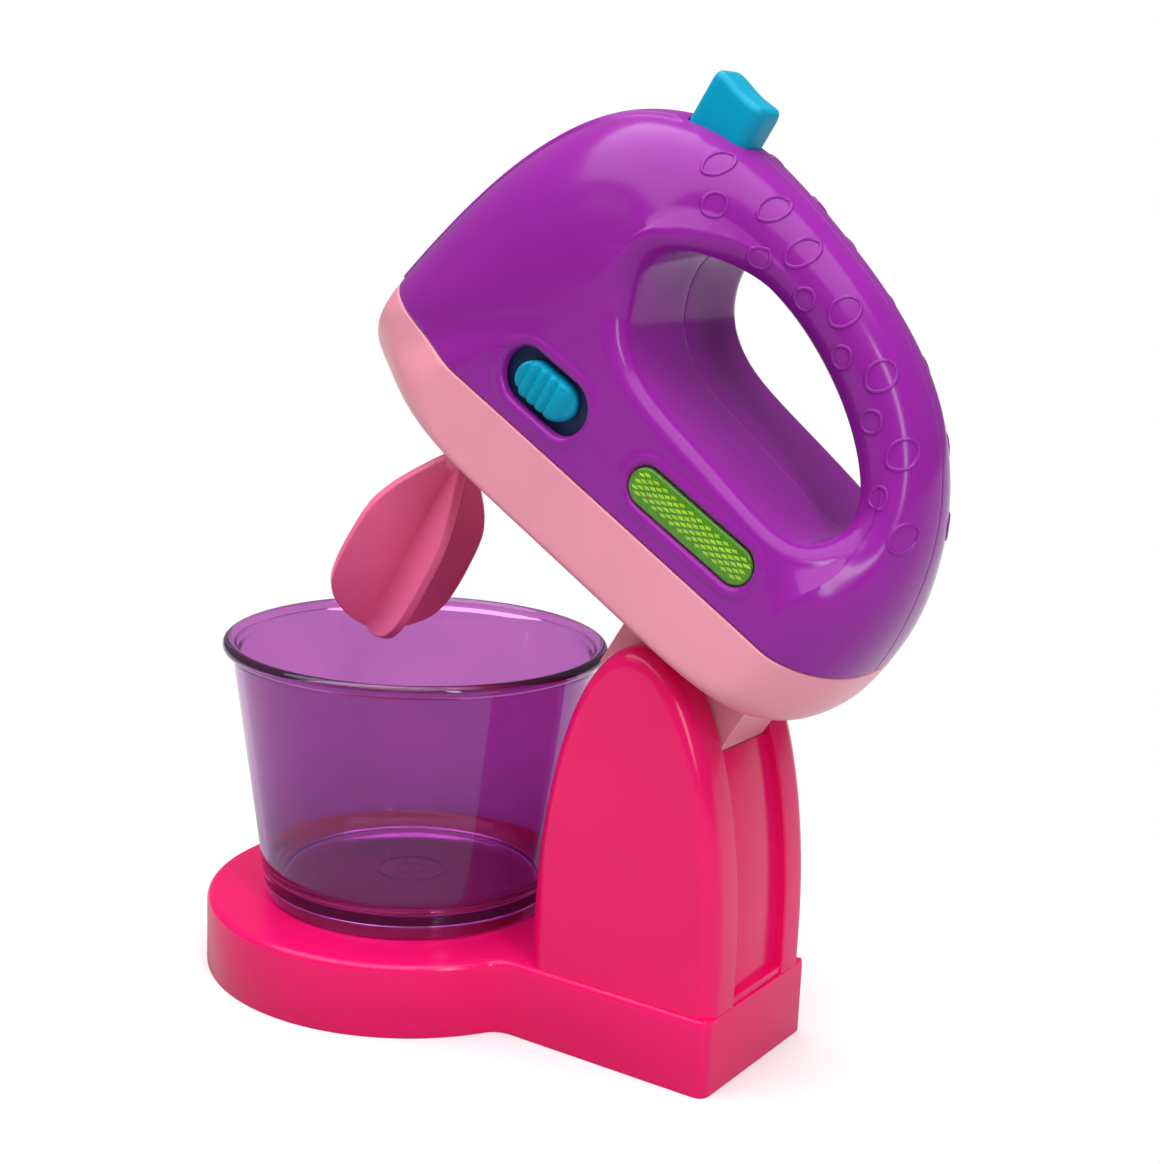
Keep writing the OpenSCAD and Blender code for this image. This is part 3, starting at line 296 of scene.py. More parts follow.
# The raised band down the nose: half width, its edge's width, where it ends before the button,
# over what length it rises there, and the height below which there is none
BAND_HALF = 7.5
BAND_EDGE = 0.7
BAND_STOP = 0.4
BAND_END = 0.8
BAND_LOW_Z = 30


def spline(table, u, closed=True):
    """Smooth curve through a table's rows, at the places u."""
    table = np.array(table, float)
    last = len(table) - 1
    i = np.floor(u).astype(int)
    if not closed:
        i = np.minimum(i, last - 1)
    t = (u - i)[:, None]
    a, b, c, d = (
        table[(i + k) % len(table) if closed else np.clip(i + k, 0, last)] for k in (-1, 0, 1, 2)
    )
    bend = (2 * a - 5 * b + 4 * c - d) * t * t + (3 * b - a - 3 * c + d) * t ** 3
    return 0.5 * (2 * b + (c - a) * t + bend)


def evened(values, spread):
    """Values round a loop, averaged with their neighbours."""
    reach = int(3 * spread)
    steps = np.arange(-reach, reach + 1)
    weights = np.exp(-0.5 * (steps / spread) ** 2)
    weights /= weights.sum()
    return sum(w * np.roll(values, s, 0) for w, s in zip(weights, steps))


def head_spokes(count):
    """Where each spoke starts and points, its length, half widths and roundings."""
    u = np.arange(count) * len(OUTLINE) / count
    spread = EVENED_OVER * count / len(OUTLINE)
    start = evened(spline(HOLE, u), spread)
    reach = evened(spline(OUTLINE, u), spread) - start
    length = np.linalg.norm(reach, axis=1)
    widths = evened(spline(HALF_WIDTH, u), spread)
    rounding = evened(spline(ROUNDING, u), spread)
    return start, reach / length[:, None], length, widths, rounding


def head_section(count, inset, gap, fine):
    """Half sections of the head along all spokes: how far out each point is, and its half width."""
    start, way, length, widths, rounding = head_spokes(count)
    col = lambda values: values[:, None]
    run = col(length - 2 * inset)
    # w0 and w1: half widths at the hole and the outline; ri and rh: depth and height of the hole's
    # rounding; ro: depth of the outline's
    w0 = col(widths[:, 0] - inset)
    w1 = col(widths[:, 1] - inset)
    ri = col(np.maximum(rounding[:, 0] - inset, ROUND_MIN))
    hole_high = np.minimum(rounding[:, 1], widths[:, 0] - FLAT_MIN)
    rh = col(np.maximum(hole_high - inset, ROUND_MIN))
    ro = col(np.maximum(rounding[:, 2] - inset, ROUND_MIN))
    ro = np.minimum(ro, run - ri - RUN_MIN)
    power = col(rounding[:, 3])
    seam = gap + SEAM_STEPS if fine else np.array([gap])
    wall = np.linspace(0, 1, 8 if fine else 2)[1:]
    bend = np.radians(np.linspace(0, 90, 14 if fine else 5)[1:])
    flat = np.linspace(0, 1, 46 if fine else 4)[1:]
    near = np.array(NOSE_STEPS if fine else [9, 5])
    rest = np.linspace(0, 1, 26 if fine else 6)[1:-1]
    last = np.arcsin((NOSE_STEPS[0] / w1) ** (power / 2))
    turn = math.pi / 2 + (last - math.pi / 2) * rest
    tip = np.concatenate([near, seam[::-1]])
    # The outer cap, first by its angle and then by its half width
    cap_out = run - ro + ro * np.cos(turn) ** (2 / power)
    cap_y = w1 * np.sin(turn) ** (2 / power)
    tip_y = tip + 0 * run
    tip_out = run - ro + ro * (1 - (tip_y / w1) ** power) ** (1 / power)
    out = np.concatenate([
        seam * 0 + 0 * run, wall * 0 + 0 * run, ri * (1 - np.cos(bend)),
        ri + (run - ro - ri) * flat, cap_out, tip_out,
    ], 1)
    half = np.concatenate([
        seam + 0 * run, seam[-1] + (w0 - rh - seam[-1]) * wall, w0 - rh + rh * np.sin(bend),
        w0 + (w1 - w0) * flat, cap_y, tip_y,
    ], 1)
    return start + way * inset, way, out, half


def head_points(count, inset, side, gap, fine=True, band=0.0, seam_round=0.0):
    """Points of one half of the head's form, a grid of spokes by places along the half section."""
    start, way, out, half = head_section(count, inset, gap, fine)
    middle = out.shape[1] // 2
    outer = np.arange(out.shape[1]) > middle
    if band:
        tip = start + way * out[:, -1:]
        stop = BUTTON_X - BUTTON_L / 2 - BAND_STOP
        rises = np.clip((stop - tip[:, 0]) / BAND_END, 0, 1)
        rises = rises * (tip[:, 1] > BAND_LOW_Z) * (tip[:, 0] < stop)
        across = np.clip((BAND_HALF + BAND_EDGE / 2 - half) / BAND_EDGE, 0, 1)
        across = across * across * (3 - 2 * across)
        out = out + band * rises[:, None] * across * outer
    if seam_round:
        inside = np.clip(1 - (half - gap) / seam_round, 0, 1)
        sink = seam_round * (1 - np.sqrt(1 - inside ** 2))
        out = out + np.where(outer, -sink, sink)
    x = start[:, :1] + way[:, :1] * out
    z = start[:, 1:] + way[:, 1:] * out
    return np.stack([x, side * half, z], -1)


def head_whole(name, inset, count, fine):
    """The head's form with both sides, inset by a wall."""
    left = head_points(count, inset, -1, 0.0, fine)
    right = head_points(count, inset, 1, 0.0, fine)
    return ring_solid(name, np.concatenate([left, right[:, -2:0:-1]], 1), HEAD)


def head_room():
    """The room within the head's walls, as a tool."""
    return head_whole("tool", WALL, ROOM_SPOKES, False)


def trim(piece, height, keep, radius):
    """Cuts a piece of the head level, keeps what is above or below, and rounds the edge."""
    up = 1 if keep == "above" else -1
    bm = bmesh.new()
    bm.from_mesh(piece.data)
    bm.transform(HEAD.inverted())
    # Extra rows of points in the rounding, then the cut
    for share in (1, 0.7, 0.4, 0.2, 0.07, 0):
        bmesh.ops.bisect_plane(
            bm, geom=bm.verts[:] + bm.edges[:] + bm.faces[:], dist=1e-4,
            plane_co=(0, 0, height + up * share * radius), plane_no=(0, 0, up),
            clear_inner=share == 0,
        )
    bm.normal_update()
    for v in bm.verts:
        inside = 1 - up * (v.co.z - height) / radius
        level = Vector((v.normal.x, v.normal.y, 0))
        if 0 < inside <= 1.001 and level.length > 0.3:
            inside = min(inside, 1)
            v.co -= level.normalized() * radius * (1 - math.sqrt(1 - inside ** 2))
    bmesh.ops.holes_fill(bm, edges=[e for e in bm.edges if e.is_boundary], sides=0)
    bmesh.ops.recalc_face_normals(bm, faces=bm.faces)
    bm.transform(HEAD)
    bm.to_mesh(piece.data)
    bm.free()


def pill_gap(points, x, z, length, height):
    """How far points in the side view lie outside a stadium, negative inside it."""
    along = np.maximum(np.abs(points[:, 0] - x) - (length - height) / 2, 0)
    return np.hypot(along, points[:, 2] - z) - height / 2


def lip(piece, x, z, length, height):
    """Raises a soft rim on the near side around an opening and rounds it over into the opening."""
    bm = bmesh.new()
    bm.from_mesh(piece.data)
    bm.transform(HEAD.inverted())
    for band in (LIP_REACH, LIP_EDGE + LIP_MARGIN):
        points = np.array([v.co for v in bm.verts])
        gap = pill_gap(points, x, z, length, height)
        near = (np.abs(gap) < band + LIP_MARGIN) & (points[:, 1] < NEAR_SIDE_Y)
        chosen = [e for e in bm.edges if near[e.verts[0].index] and near[e.verts[1].index]]
        bmesh.ops.subdivide_edges(bm, edges=chosen, cuts=1, use_grid_fill=True)
        bm.verts.index_update()
    points = np.array([v.co for v in bm.verts])
    gap = pill_gap(points, x, z, length, height)
    for v, s in zip(bm.verts, gap):
        if s < LIP_REACH and v.co.y < NEAR_SIDE_Y:
            raised = LIP_RISE * math.sin(math.pi * min(max(s, 0) / LIP_REACH, 1)) ** 2
            turned = min(max(1 - s / LIP_EDGE, 0), 1)
            v.co.y -= raised - LIP_EDGE * (1 - math.sqrt(1 - turned ** 2))
    bm.transform(HEAD)
    bm.to_mesh(piece.data)
    bm.free()


# The controls' places on the head, from the frame, less the flanges that hold them behind the wall
SLOT_FLANGE = 4
LENS_FLANGE = 3
BUTTON_X = (BUTTON_LOW[0] + BUTTON_HIGH[0]) / 2
BUTTON_L = BUTTON_HIGH[0] - BUTTON_LOW[0]
BUTTON_W = BUTTON_HIGH[1] - BUTTON_LOW[1]
BUTTON_CORNER = 3
BUTTON_EDGE = 1.9
SLOT_X = (RECESS_LOW[0] + RECESS_HIGH[0]) / 2
SLOT_Z = (RECESS_LOW[2] + RECESS_HIGH[2]) / 2
SLOT_L = RECESS_HIGH[0] - RECESS_LOW[0] - SLOT_FLANGE
SLOT_H = RECESS_HIGH[2] - RECESS_LOW[2] - SLOT_FLANGE
LENS_X = (LENS_LOW[0] + LENS_HIGH[0]) / 2
LENS_Z = (LENS_LOW[2] + LENS_HIGH[2]) / 2
LENS_L = LENS_HIGH[0] - LENS_LOW[0] - LENS_FLANGE
LENS_H = LENS_HIGH[2] - LENS_LOW[2] - LENS_FLANGE
LENS_PLAY = 0.4
OPENINGS = (
    (SLOT_X, SLOT_Z, SLOT_L, SLOT_H),
    (LENS_X, LENS_Z, LENS_L + LENS_PLAY, LENS_H + LENS_PLAY),
)
# The soft rim round each opening, on the side wall that faces the photograph
NEAR_SIDE_Y = -22
OPENING_BOTTOM_Y = -22.7
LIP_REACH = 3.4
LIP_EDGE = 0.9
LIP_RISE = 0.42
LIP_MARGIN = 0.6

# Walls, screws and posts of the head
WALL = 2.2
KEEL_Z = TRAY_LOW[2]
FLOOR_Z = KEEL_Z + WALL
KEEL_CUT_Z = KEEL_Z - 1
SHELL_SCREWS = [[-106, 60], [-86, 93], [22, 60], [-38, 54], [-29, 103.8]]
TRAY_SCREWS = [[-105.5, -7], [-105.5, 7], [14, -15.5], [14, 15.5]]
NECK_SCREWS = [(x, y) for x in (-16.4, 12.8) for y in (-7, 7)]
BOARD_POSTS = [(x, y) for x in (-51, -23) for y in (-14, 14)]
SPINDLE_X = -87.5
SPINDLE_HOLE_R = 4.05
SCREW_R = 1.22
HOLE_R = 1.6
HEAD_BORE_R = 3
POST_R = 4.3
STEM_POST_R = 3
RIB_HALF = 0.8
# The battery bay: middle, half length and half width, then the recess and tab of its door
BAY_X = -36.5
BAY_START = BAY_X - 11.25
BAY_END = BAY_X + 11.25
BAY_HALF_W = 23.45
BAY_WALL = 1.6
BAY_ROOF = FLOOR_Z + 0.8 + 10.5
DOOR_EDGE = 1.5
DOOR_DEEP = KEEL_Z + 1.8
TAB_X = BAY_START - 4.3
TAB_END = BAY_START - 7.1
TAB_HALF_W = 4.7
TAB_POST_R = 3.4


def button_pocket(grow, z0):
    """The well that the button moves in, a rounded rectangle around it, as a tool."""
    x = BUTTON_L / 2 - BUTTON_CORNER
    y = BUTTON_W / 2 - BUTTON_CORNER
    plan = np.concatenate([
        arc((BUTTON_X + sx * x, sy * y), BUTTON_CORNER + grow, start, start + 90, 10)
        for sx, sy, start in ((1, 1, 0), (-1, 1, 90), (-1, -1, 180), (1, -1, 270))
    ])
    return loft("tool", [[(x, y, z) for x, y in plan] for z in (z0, z0 + 60)], HEAD)


def side_screws(side):
    """The tray screws under one side of the head."""
    return [(x, y) for x, y in TRAY_SCREWS if y * side > 0]


def shell_cavity(side):
    """The room inside one upper shell, around its screw posts, as a tool."""
    low, high = PART_Z - 5, PART_Z + 12
    y0, y1 = (-FAR, 0.0) if side < 0 else (0.0, FAR)
    posts = rods("y", SHELL_SCREWS, POST_R, y0, y1, HEAD)
    posts += rods("z", side_screws(side), STEM_POST_R, low, high, HEAD)
    posts += [
        block(x - RIB_HALF, x + RIB_HALF, *sorted((y + side, side * FAR)), low, high, HEAD)
        for x, y in side_screws(side)
    ]
    return combine(head_room(), "DIFFERENCE", posts)


def upper_shell(side, seam_round, band):
    """One upper shell: its outer form with a soft parting edge, hollowed and bored."""
    points = head_points(SPOKES, 0, side, SPLIT_HALF, True, band, seam_round)
    shell = ring_solid("shell", points, HEAD)
    trim(shell, PART_Z + SEAM_GAP / 2, "above", seam_round)
    tools = [shell_cavity(side), button_pocket(0.4, BUTTON_HIGH[2] - 22.5)]
    if side < 0:
        for opening in OPENINGS:
            lip(shell, *opening)
            tools.append(pill(*opening, -FAR, OPENING_BOTTOM_Y))
        tools += rods("y", SHELL_SCREWS, SCREW_R, -11, 1, HEAD)
    else:
        tools += rods("y", SHELL_SCREWS, HOLE_R, -1, 20, HEAD)
        tools += rods("y", SHELL_SCREWS, HEAD_BORE_R, 7, FAR, HEAD)
    tools += rods("z", side_screws(side), SCREW_R, PART_Z - 1, PART_Z + 11, HEAD)
    return combine(shell, "DIFFERENCE", tools)


def tray():
    """The light pink tray: outer form from the keel to the parting line, hollowed and bored."""
    body = head_whole("tray", 0, SPOKES, True)
    trim(body, PART_Z - SEAM_GAP / 2, "below", 0.55)
    trim(body, KEEL_Z, "above", 0.9)
    room = combine(head_room(), "DIFFERENCE", [
        block(-FAR, FAR, -FAR, FAR, -FAR, FLOOR_Z, HEAD),
        block(
            BAY_START - BAY_WALL, BAY_END + BAY_WALL, -FAR, FAR,
            KEEL_CUT_Z, BAY_ROOF + BAY_WALL, HEAD,
        ),
        rod("z", TAB_X, 0, TAB_POST_R, KEEL_CUT_Z, FLOOR_Z + 8, HEAD),
    ] + rods("z", TRAY_SCREWS, POST_R, KEEL_CUT_Z, FAR, HEAD))
    tools = [room]
    for x0, x1, half, top in (
        (BAY_START, BAY_END, BAY_HALF_W, BAY_ROOF),
        (BAY_START - DOOR_EDGE, BAY_END + DOOR_EDGE, BAY_HALF_W, DOOR_DEEP),
        (TAB_END, BAY_START, TAB_HALF_W, DOOR_DEEP),
    ):
        tools.append(block(x0, x1, -half, half, KEEL_CUT_Z, top, HEAD))
    bores = [(TAB_X, 0, SCREW_R, FLOOR_Z + 7), (SPINDLE_X, 0, SPINDLE_HOLE_R, FLOOR_Z + 1)]
    for x, y in TRAY_SCREWS:
        bores += [(x, y, HOLE_R, FAR), (x, y, HEAD_BORE_R, FLOOR_Z + 9)]
    bores += [(x, y, HOLE_R, FLOOR_Z + 1) for x, y in NECK_SCREWS]
    tools += [rod("z", x, y, radius, KEEL_CUT_Z, top, HEAD) for x, y, radius, top in bores]
    return combine(body, "DIFFERENCE", tools)


def board_posts(body):
    """The posts in the tray that carry the circuit board, each with a pin through it."""
    posts = []
    for x, y in BOARD_POSTS:
        for radius, top in ((2.4, PART_Z + 2.95), (1.2, PART_Z + BOARD_POSTS_H)):
            posts.append(rod("z", x, y, radius, BAY_ROOF + 0.5, top, HEAD, 32))
    return combine(body, "UNION", posts)


# Base and tower

PLAY = 0.05
PLATFORM_R = -BASE_LOW[0]
BLOCK_REACH = BASE_HIGH[0]
TOWER_FOOT = EAR_LOW[2]
BASE_H = TOWER_FOOT - PLAY
BLOCK_W = 50.6
BLOCK_CORNER = 3
WAIST_R = 7
BASE_EDGE = 2
BASE_WALL = 2.4
BASE_POST_R = 3.4
BASE_POSTS = [(-42, 0), (21, 36.4), (21, -36.4), (BLOCK_REACH - 6.3, 0)]
# The base's top edge: from where and over what length it gets sharper, and what is left at the rear
SHARPER_X = 45
SHARPER_OVER = 15
REAR_SHARE = 0.15
# The ring that the bowl stands over, as radius and height above the base
LOCATOR = ((33.5, -1), (33.5, 2.1), (33.1, 2.5))

TOWER_X = (EAR_LOW[0] + EAR_HIGH[0]) / 2
TOWER_L = EAR_HIGH[0] - EAR_LOW[0]
TOWER_TOP = EAR_HIGH[2]
TOWER_Y = EAR_HIGH[1] if EAR_HIGH[1] > 0 else -EAR_LOW[1]
EAR_IN = min(abs(EAR_LOW[1]), abs(EAR_HIGH[1]))
EAR_Y = (EAR_IN + TOWER_Y) / 2
KNEE_Z = 30
EAR_EDGE = 5
EAR_SCREWS = [TOWER_X + x for x in (-17, 17)]
CORE_SCREWS = [TOWER_X - 13, TOWER_X + 12]
# How far the core's front and rear stand back from the ears, outside and inside
CORE_FRONT = 1.2
CORE_ROOM_FRONT = 3.6
REAR_RECESS = 2.2
# Pin, its boss in the ears, and the seat of the neck in the core, with room in front of it
PIN_HOLE_R = 3.02
PIN_BOSS_R = 6
SEAT_R = 17.35
SEAT_FRONT_R = 21.3


def base_line(inset):
    """Outline of platform, waist and block, inset."""
    waist_y = BLOCK_W / 2 + WAIST_R
    waist_x = math.sqrt((PLATFORM_R + WAIST_R) ** 2 - waist_y ** 2)
    turn = math.degrees(math.atan2(waist_y, waist_x))
    x1 = BLOCK_REACH - BLOCK_CORNER
    y1 = BLOCK_W / 2 - BLOCK_CORNER
    waist_r = WAIST_R + inset
    corner_r = BLOCK_CORNER - inset
    return np.concatenate([
        arc((0, 0), PLATFORM_R - inset, turn, 360 - turn, 240),
        arc((waist_x, -waist_y), waist_r, 180 - turn, 90, 16)[1:],
        arc((x1, -y1), corner_r, -90, 0, 10),
        arc((x1, y1), corner_r, 0, 90, 10),
        arc((waist_x, waist_y), waist_r, 270, 180 + turn, 16)[:-1],
    ])


def base_ring(inset, z):
    """The base's outline at a height, with less inset along the block and least at its rear."""
    line = []
    for (x, y), (a, b) in zip(base_line(0), base_line(inset)):
        share = 1 - 0.5 * min(max((x - SHARPER_X) / SHARPER_OVER, 0), 1)
        if x > BLOCK_REACH - 1.5 and z > 1:
            share = REAR_SHARE
        line.append((x + (a - x) * share, y + (b - y) * share, z))
    return line


def base():
    """The pink base: platform and block in one moulding, rounded at the top, hollow underneath."""
    rings = [base_ring(0.4, 0), base_ring(0.12, 0.12), base_ring(0, 0.4)]
    for turn in np.radians(np.linspace(0, 90, 10)):
        inset = BASE_EDGE * (1 - math.cos(turn))
        rings.append(base_ring(inset, BASE_H - BASE_EDGE * (1 - math.sin(turn))))
    body = loft("base", rings, UPRIGHT)
    roof = BASE_H - BASE_WALL
    half = BLOCK_W / 2 - BASE_WALL
    room = rod("z", 0, 0, PLATFORM_R - BASE_WALL, -1, roof, UPRIGHT, 160)
    combine(room, "UNION", [block(20, BLOCK_REACH - BASE_WALL, -half, half, -1, roof, UPRIGHT)])
    combine(room, "DIFFERENCE", rods("z", BASE_POSTS, BASE_POST_R, 2.05, roof + 1, UPRIGHT))
    tower_screws = [(x, s * EAR_Y) for x in EAR_SCREWS for s in (-1, 1)]
    tower_screws += [(x, 0) for x in CORE_SCREWS]
    bores = rods("z", BASE_POSTS, SCREW_R, 1, roof - 2, UPRIGHT)
    bores += rods("z", tower_screws, HOLE_R, roof - 1, BASE_H + 1, UPRIGHT)
    combine(body, "DIFFERENCE", [room] + bores)
    locator = loft("tool", [
        [(x, y, BASE_H + z) for x, y in arc((0, 0), r, 0, 360, 128)[:-1]] for r, z in LOCATOR
    ], UPRIGHT)
    return combine(body, "UNION", [locator])


def tower_line(inset, foot):
    """Side view of the tower from its foot, inset."""
    turn = np.radians(np.linspace(0, 180, 121))
    x = TOWER_X + (TOWER_L / 2 - inset) * np.cos(turn)
    z = KNEE_Z + (TOWER_TOP - KNEE_Z - inset) * np.sin(turn)
    top = list(zip(x, z))
    rise = [foot + (KNEE_Z - foot) * k / 6 for k in range(6)]
    right = [(TOWER_X + TOWER_L / 2 - inset, z) for z in rise]
    left = [(TOWER_X - TOWER_L / 2 + inset, z) for z in reversed(rise)]
    return right + top + left


def ear_solid(inset, foot, edge_in):
    """One ear on the far side, inset, from its inner face outwards."""
    r = EAR_EDGE - inset
    stations = [(inset, EAR_IN + inset)]
    if edge_in:
        stations = [
            (inset + edge_in * (1 - math.cos(turn)), EAR_IN + edge_in * (1 - math.sin(turn)))
            for turn in np.radians(np.linspace(90, 0, 6))
        ]
    for turn in np.radians(np.linspace(0, 90, 14)):
        stations.append((inset + r * (1 - math.cos(turn)), TOWER_Y - EAR_EDGE + r * math.sin(turn)))
    rings = [[(x, y, z) for x, z in tower_line(d, foot)] for d, y in stations]
    return loft("ear", rings, UPRIGHT)


def tower_posts(spots):
    """The posts that the tower's screws run in, as tools."""
    return rods("z", spots, BASE_POST_R, TOWER_FOOT - 2, BASE_H + 13, UPRIGHT)


def tower_bores(spots):
    """The bores of the tower's screws, as tools."""
    return rods("z", spots, SCREW_R, BASE_H - 1, BASE_H + 11, UPRIGHT)


def ear(side):
    """One ear of the tower, hollow, with its pin boss and its two screw posts."""
    body = ear_solid(0, TOWER_FOOT, 0.5)
    room = ear_solid(BASE_WALL, BASE_H - 1, 0)
    spots = [(x, EAR_Y) for x in EAR_SCREWS]
    ribs = [
        block(
            x - RIB_HALF, x + RIB_HALF, EAR_IN + 1, TOWER_Y - 1,
            TOWER_FOOT - 2, BASE_H + 13, UPRIGHT,
        )
        for x in EAR_SCREWS
    ]
    boss = rod("y", HINGE_X, HINGE_Z, PIN_BOSS_R, EAR_IN + 1, EAR_IN + 10, UPRIGHT)
    combine(room, "DIFFERENCE", tower_posts(spots) + ribs + [boss])
    pin_hole = rod("y", HINGE_X, HINGE_Z, PIN_HOLE_R, EAR_IN - 1, EAR_IN + 8.3, UPRIGHT)
    combine(body, "DIFFERENCE", [room, pin_hole] + tower_bores(spots))
    if side < 0:
        body.data.transform(Matrix.Scale(-1, 4, (0, 1, 0)))
        body.data.flip_normals()
    return body


def slab(front, rear, y, foot):
    """The tower's side view, inset in front and at the rear, as a plate of half width y."""
    lines = zip(tower_line(rear, foot), tower_line(front, foot))
    line = [aft if aft[0] > TOWER_X else fore for aft, fore in lines]
    return loft("tool", [[(x, s * y, z) for x, z in line] for s in (-1, 1)], UPRIGHT)


def core():
    """The tower's middle: a rounded seat for the neck, and a recess with a sill at the rear."""
    half = EAR_IN - PLAY
    spots = [(x, 0) for x in CORE_SCREWS]
    body = slab(CORE_FRONT, REAR_RECESS, half, TOWER_FOOT)
    sill_x = TOWER_X + TOWER_L / 2 - 0.4
    combine(body, "UNION", [
        block(TOWER_X, sill_x, -half, half, TOWER_FOOT, TOWER_FOOT + 2, UPRIGHT),
    ])
    room = slab(CORE_ROOM_FRONT, REAR_RECESS + BASE_WALL, half - BASE_WALL, BASE_H - 1)
    combine(room, "INTERSECT", [block(0, FAR, -FAR, FAR, 0, 60, UPRIGHT)])
    combine(room, "DIFFERENCE", tower_posts(spots))
    seat, front = (
        rod("y", HINGE_X, HINGE_Z, radius, -EAR_IN, EAR_IN, UPRIGHT, 128)
        for radius in (SEAT_R, SEAT_FRONT_R)
    )
    combine(front, "INTERSECT", [block(0, HINGE_X, -FAR, FAR, 0, FAR, UPRIGHT)])
    above = block(0, FAR, -EAR_IN, EAR_IN, HINGE_Z, FAR, UPRIGHT)
    combine(body, "DIFFERENCE", [room, front, seat, above] + tower_bores(spots))
    return soften(body, 0.5, 3)


# Bowl

def bowl():
    """The clear bowl: leaning wall, rolled rim, foot ring and a floor with moulded rings."""
    low = BOWL_LOW[2]
    bead = 1.6
    rim_r = BOWL_HIGH[0] - bead
    bead_z = BOWL_HIGH[2] - low - bead
    foot_r = 39.4
    wall = 2.0
    lean = (rim_r - 0.7 - foot_r) / bead_z
    floor = 5.0
    round_in = 7.0
    inner = lambda z: foot_r + lean * z - wall
    knee = inner(floor + round_in) - round_in
    line = [(AXIS_R, floor - wall), (foot_r - 3.8, floor - wall)]
    line += arc((foot_r - 3.8, floor - wall - 0.8), 0.8, 90, 0, 5).tolist()
    line += arc((foot_r - 2.2, 0.8), 0.8, 180, 270, 5).tolist()
    line += arc((foot_r - 1.2, 1.2), 1.2, -90, 0, 8).tolist()
    line += [(foot_r + lean * z, z) for z in np.linspace(1.6, bead_z - 2.2, 30)]
    # The rim swells out of the wall and rolls over
    line += arc((rim_r, bead_z), bead, -60, 180, 24).tolist()
    line += [(inner(z), z) for z in np.linspace(bead_z - 2.4, floor + round_in, 30)]
    line += arc((knee, floor + round_in), round_in, 0, -90, 16).tolist()[1:]
    for r in np.linspace(knee - 0.5, 0.5, 150):
        ridges = (
            height * math.exp(-((r - place) / width) ** 2)
            for height, place, width in ((0.28, 9, 0.7), (0.18, 4.2, 0.5))
        )
        line.append((r, floor + sum(ridges)))
    line.append((AXIS_R, floor))
    return lathe("bowl", [(r, z + low) for r, z in line], UPRIGHT, 256)


# Beater

LEAF = [
    [3.2, 12], [3.9, 7.6], [7, 3.6], [10.6, -1], [14, -6.2], [16.4, -11.5], [17.4, -16.5],
    [17.8, -22], [18, -28], [17.8, -34], [17.1, -38.4], [15.6, -42], [13.3, -45], [9.4, -48],
    [5, -50], [1.6, -51],
]
LEAF_TURN = 55
LEAF_THICK = 2.6
LEAF_NARROWED = 17.5 / 18
HUB_R = 4.4


def beater():
    """Two crossed leaves with rounded edges on a hub that takes the spindle's flats."""
    axis_x = (SPINDLE_LOW[0] + SPINDLE_HIGH[0]) / 2
    tip, top = BEATER_LOW[2], BEATER_HIGH[2]
    stretch = tip / LEAF[-1][1]
    edge = [(r * LEAF_NARROWED, z * stretch if z < 0 else z) for r, z in LEAF]
    line = spline(edge, np.linspace(0, len(edge) - 1, 90), False)
    both = np.concatenate([line, line[::-1] * (-1, 1)])
    leaves = []
    for turn in np.radians([LEAF_TURN, LEAF_TURN + 90]):
        c, s = math.cos(turn), math.sin(turn)
        rings = [
            [(axis_x + r * c - y * s, r * s + y * c, z) for r, z in both]
            for y in (-LEAF_THICK / 2, LEAF_THICK / 2)
        ]
        leaves.append(soften(loft("leaf", rings, HEAD), 0.75, 4))
    hub = [(AXIS_R, 2.6)] + arc((0, 7), HUB_R, -86, 0, 14).tolist()
    hub += [(HUB_R, top - 0.5), (HUB_R - 0.5, top), (AXIS_R, top)]
    body = lathe("hub", hub, HEAD, 64, axis_x)
    combine(body, "UNION", leaves)
    flat = rod("z", axis_x, 0, 2.55, SPINDLE_LOW[2] - 0.3, FAR, HEAD)
    combine(flat, "INTERSECT", [block(axis_x - 2, axis_x + 2, -FAR, FAR, -FAR, FAR, HEAD)])
    return combine(body, "DIFFERENCE", [flat])


# Controls and lens

def pill_form(name, x, z, length, height, y_base, y_top, round_r, surface, rings):
    """A stadium-shaped cap on the near side: straight sides, a rounded edge, then a shaped top."""
    def ring(inset, y_of):
        line = pill_line(x, z, length - 2 * inset, height - 2 * inset, 24, 64)
        return [(a, y_of(a, b), b) for a, b in line]

    grid = [ring(0, lambda a, b: y_base)]
    for turn in np.linspace(0, math.pi / 2, 8):
        inset = round_r * (1 - math.cos(turn))
        sink = round_r * (1 - math.sin(turn))
        grid.append(ring(inset, lambda a, b, sink=sink: y_top + sink + surface(a, b)))
    for inset in np.linspace(round_r, height / 2, rings)[1:]:
        grid.append(ring(inset, lambda a, b: y_top + surface(a, b)))
    return loft(name, grid, HEAD, False)


def slider():
    """The switch slider: four grooves across its top and a plain sloping end towards the tail."""
    x = (SLIDER_LOW[0] + SLIDER_HIGH[0]) / 2
    length = SLIDER_HIGH[0] - SLIDER_LOW[0]
    height = SLIDER_HIGH[2] - SLIDER_LOW[2]
    base_y = RECESS_LOW[1] - 0.4
    pitch = 2.9
    groove_half = 0.62

    def surface(a, b):
        along = a - x
        slope = 0.13 * max(along - 3.0, 0) ** 2
        across = 0.6 * (abs(b - SLOT_Z) / (height / 2)) ** 3
        step = (along + length / 2 - 2.2) / pitch
        groove = 0.0
        if -0.5 < step < 3.5:
            groove = 0.85 * math.exp(-(((step - round(step)) * pitch) / groove_half) ** 2)
        return min(slope, 2.2) + across + groove

    cap = pill_form(
        "slider", x, SLOT_Z, length, height, base_y, SLIDER_LOW[1], 1.1, surface, 18,
    )
    stem = block(x - 2.5, x + 2.5, base_y - 1, SLIDER_HIGH[1], SLOT_Z - 1.5, SLOT_Z + 1.5, HEAD)
    return combine(cap, "UNION", [stem])


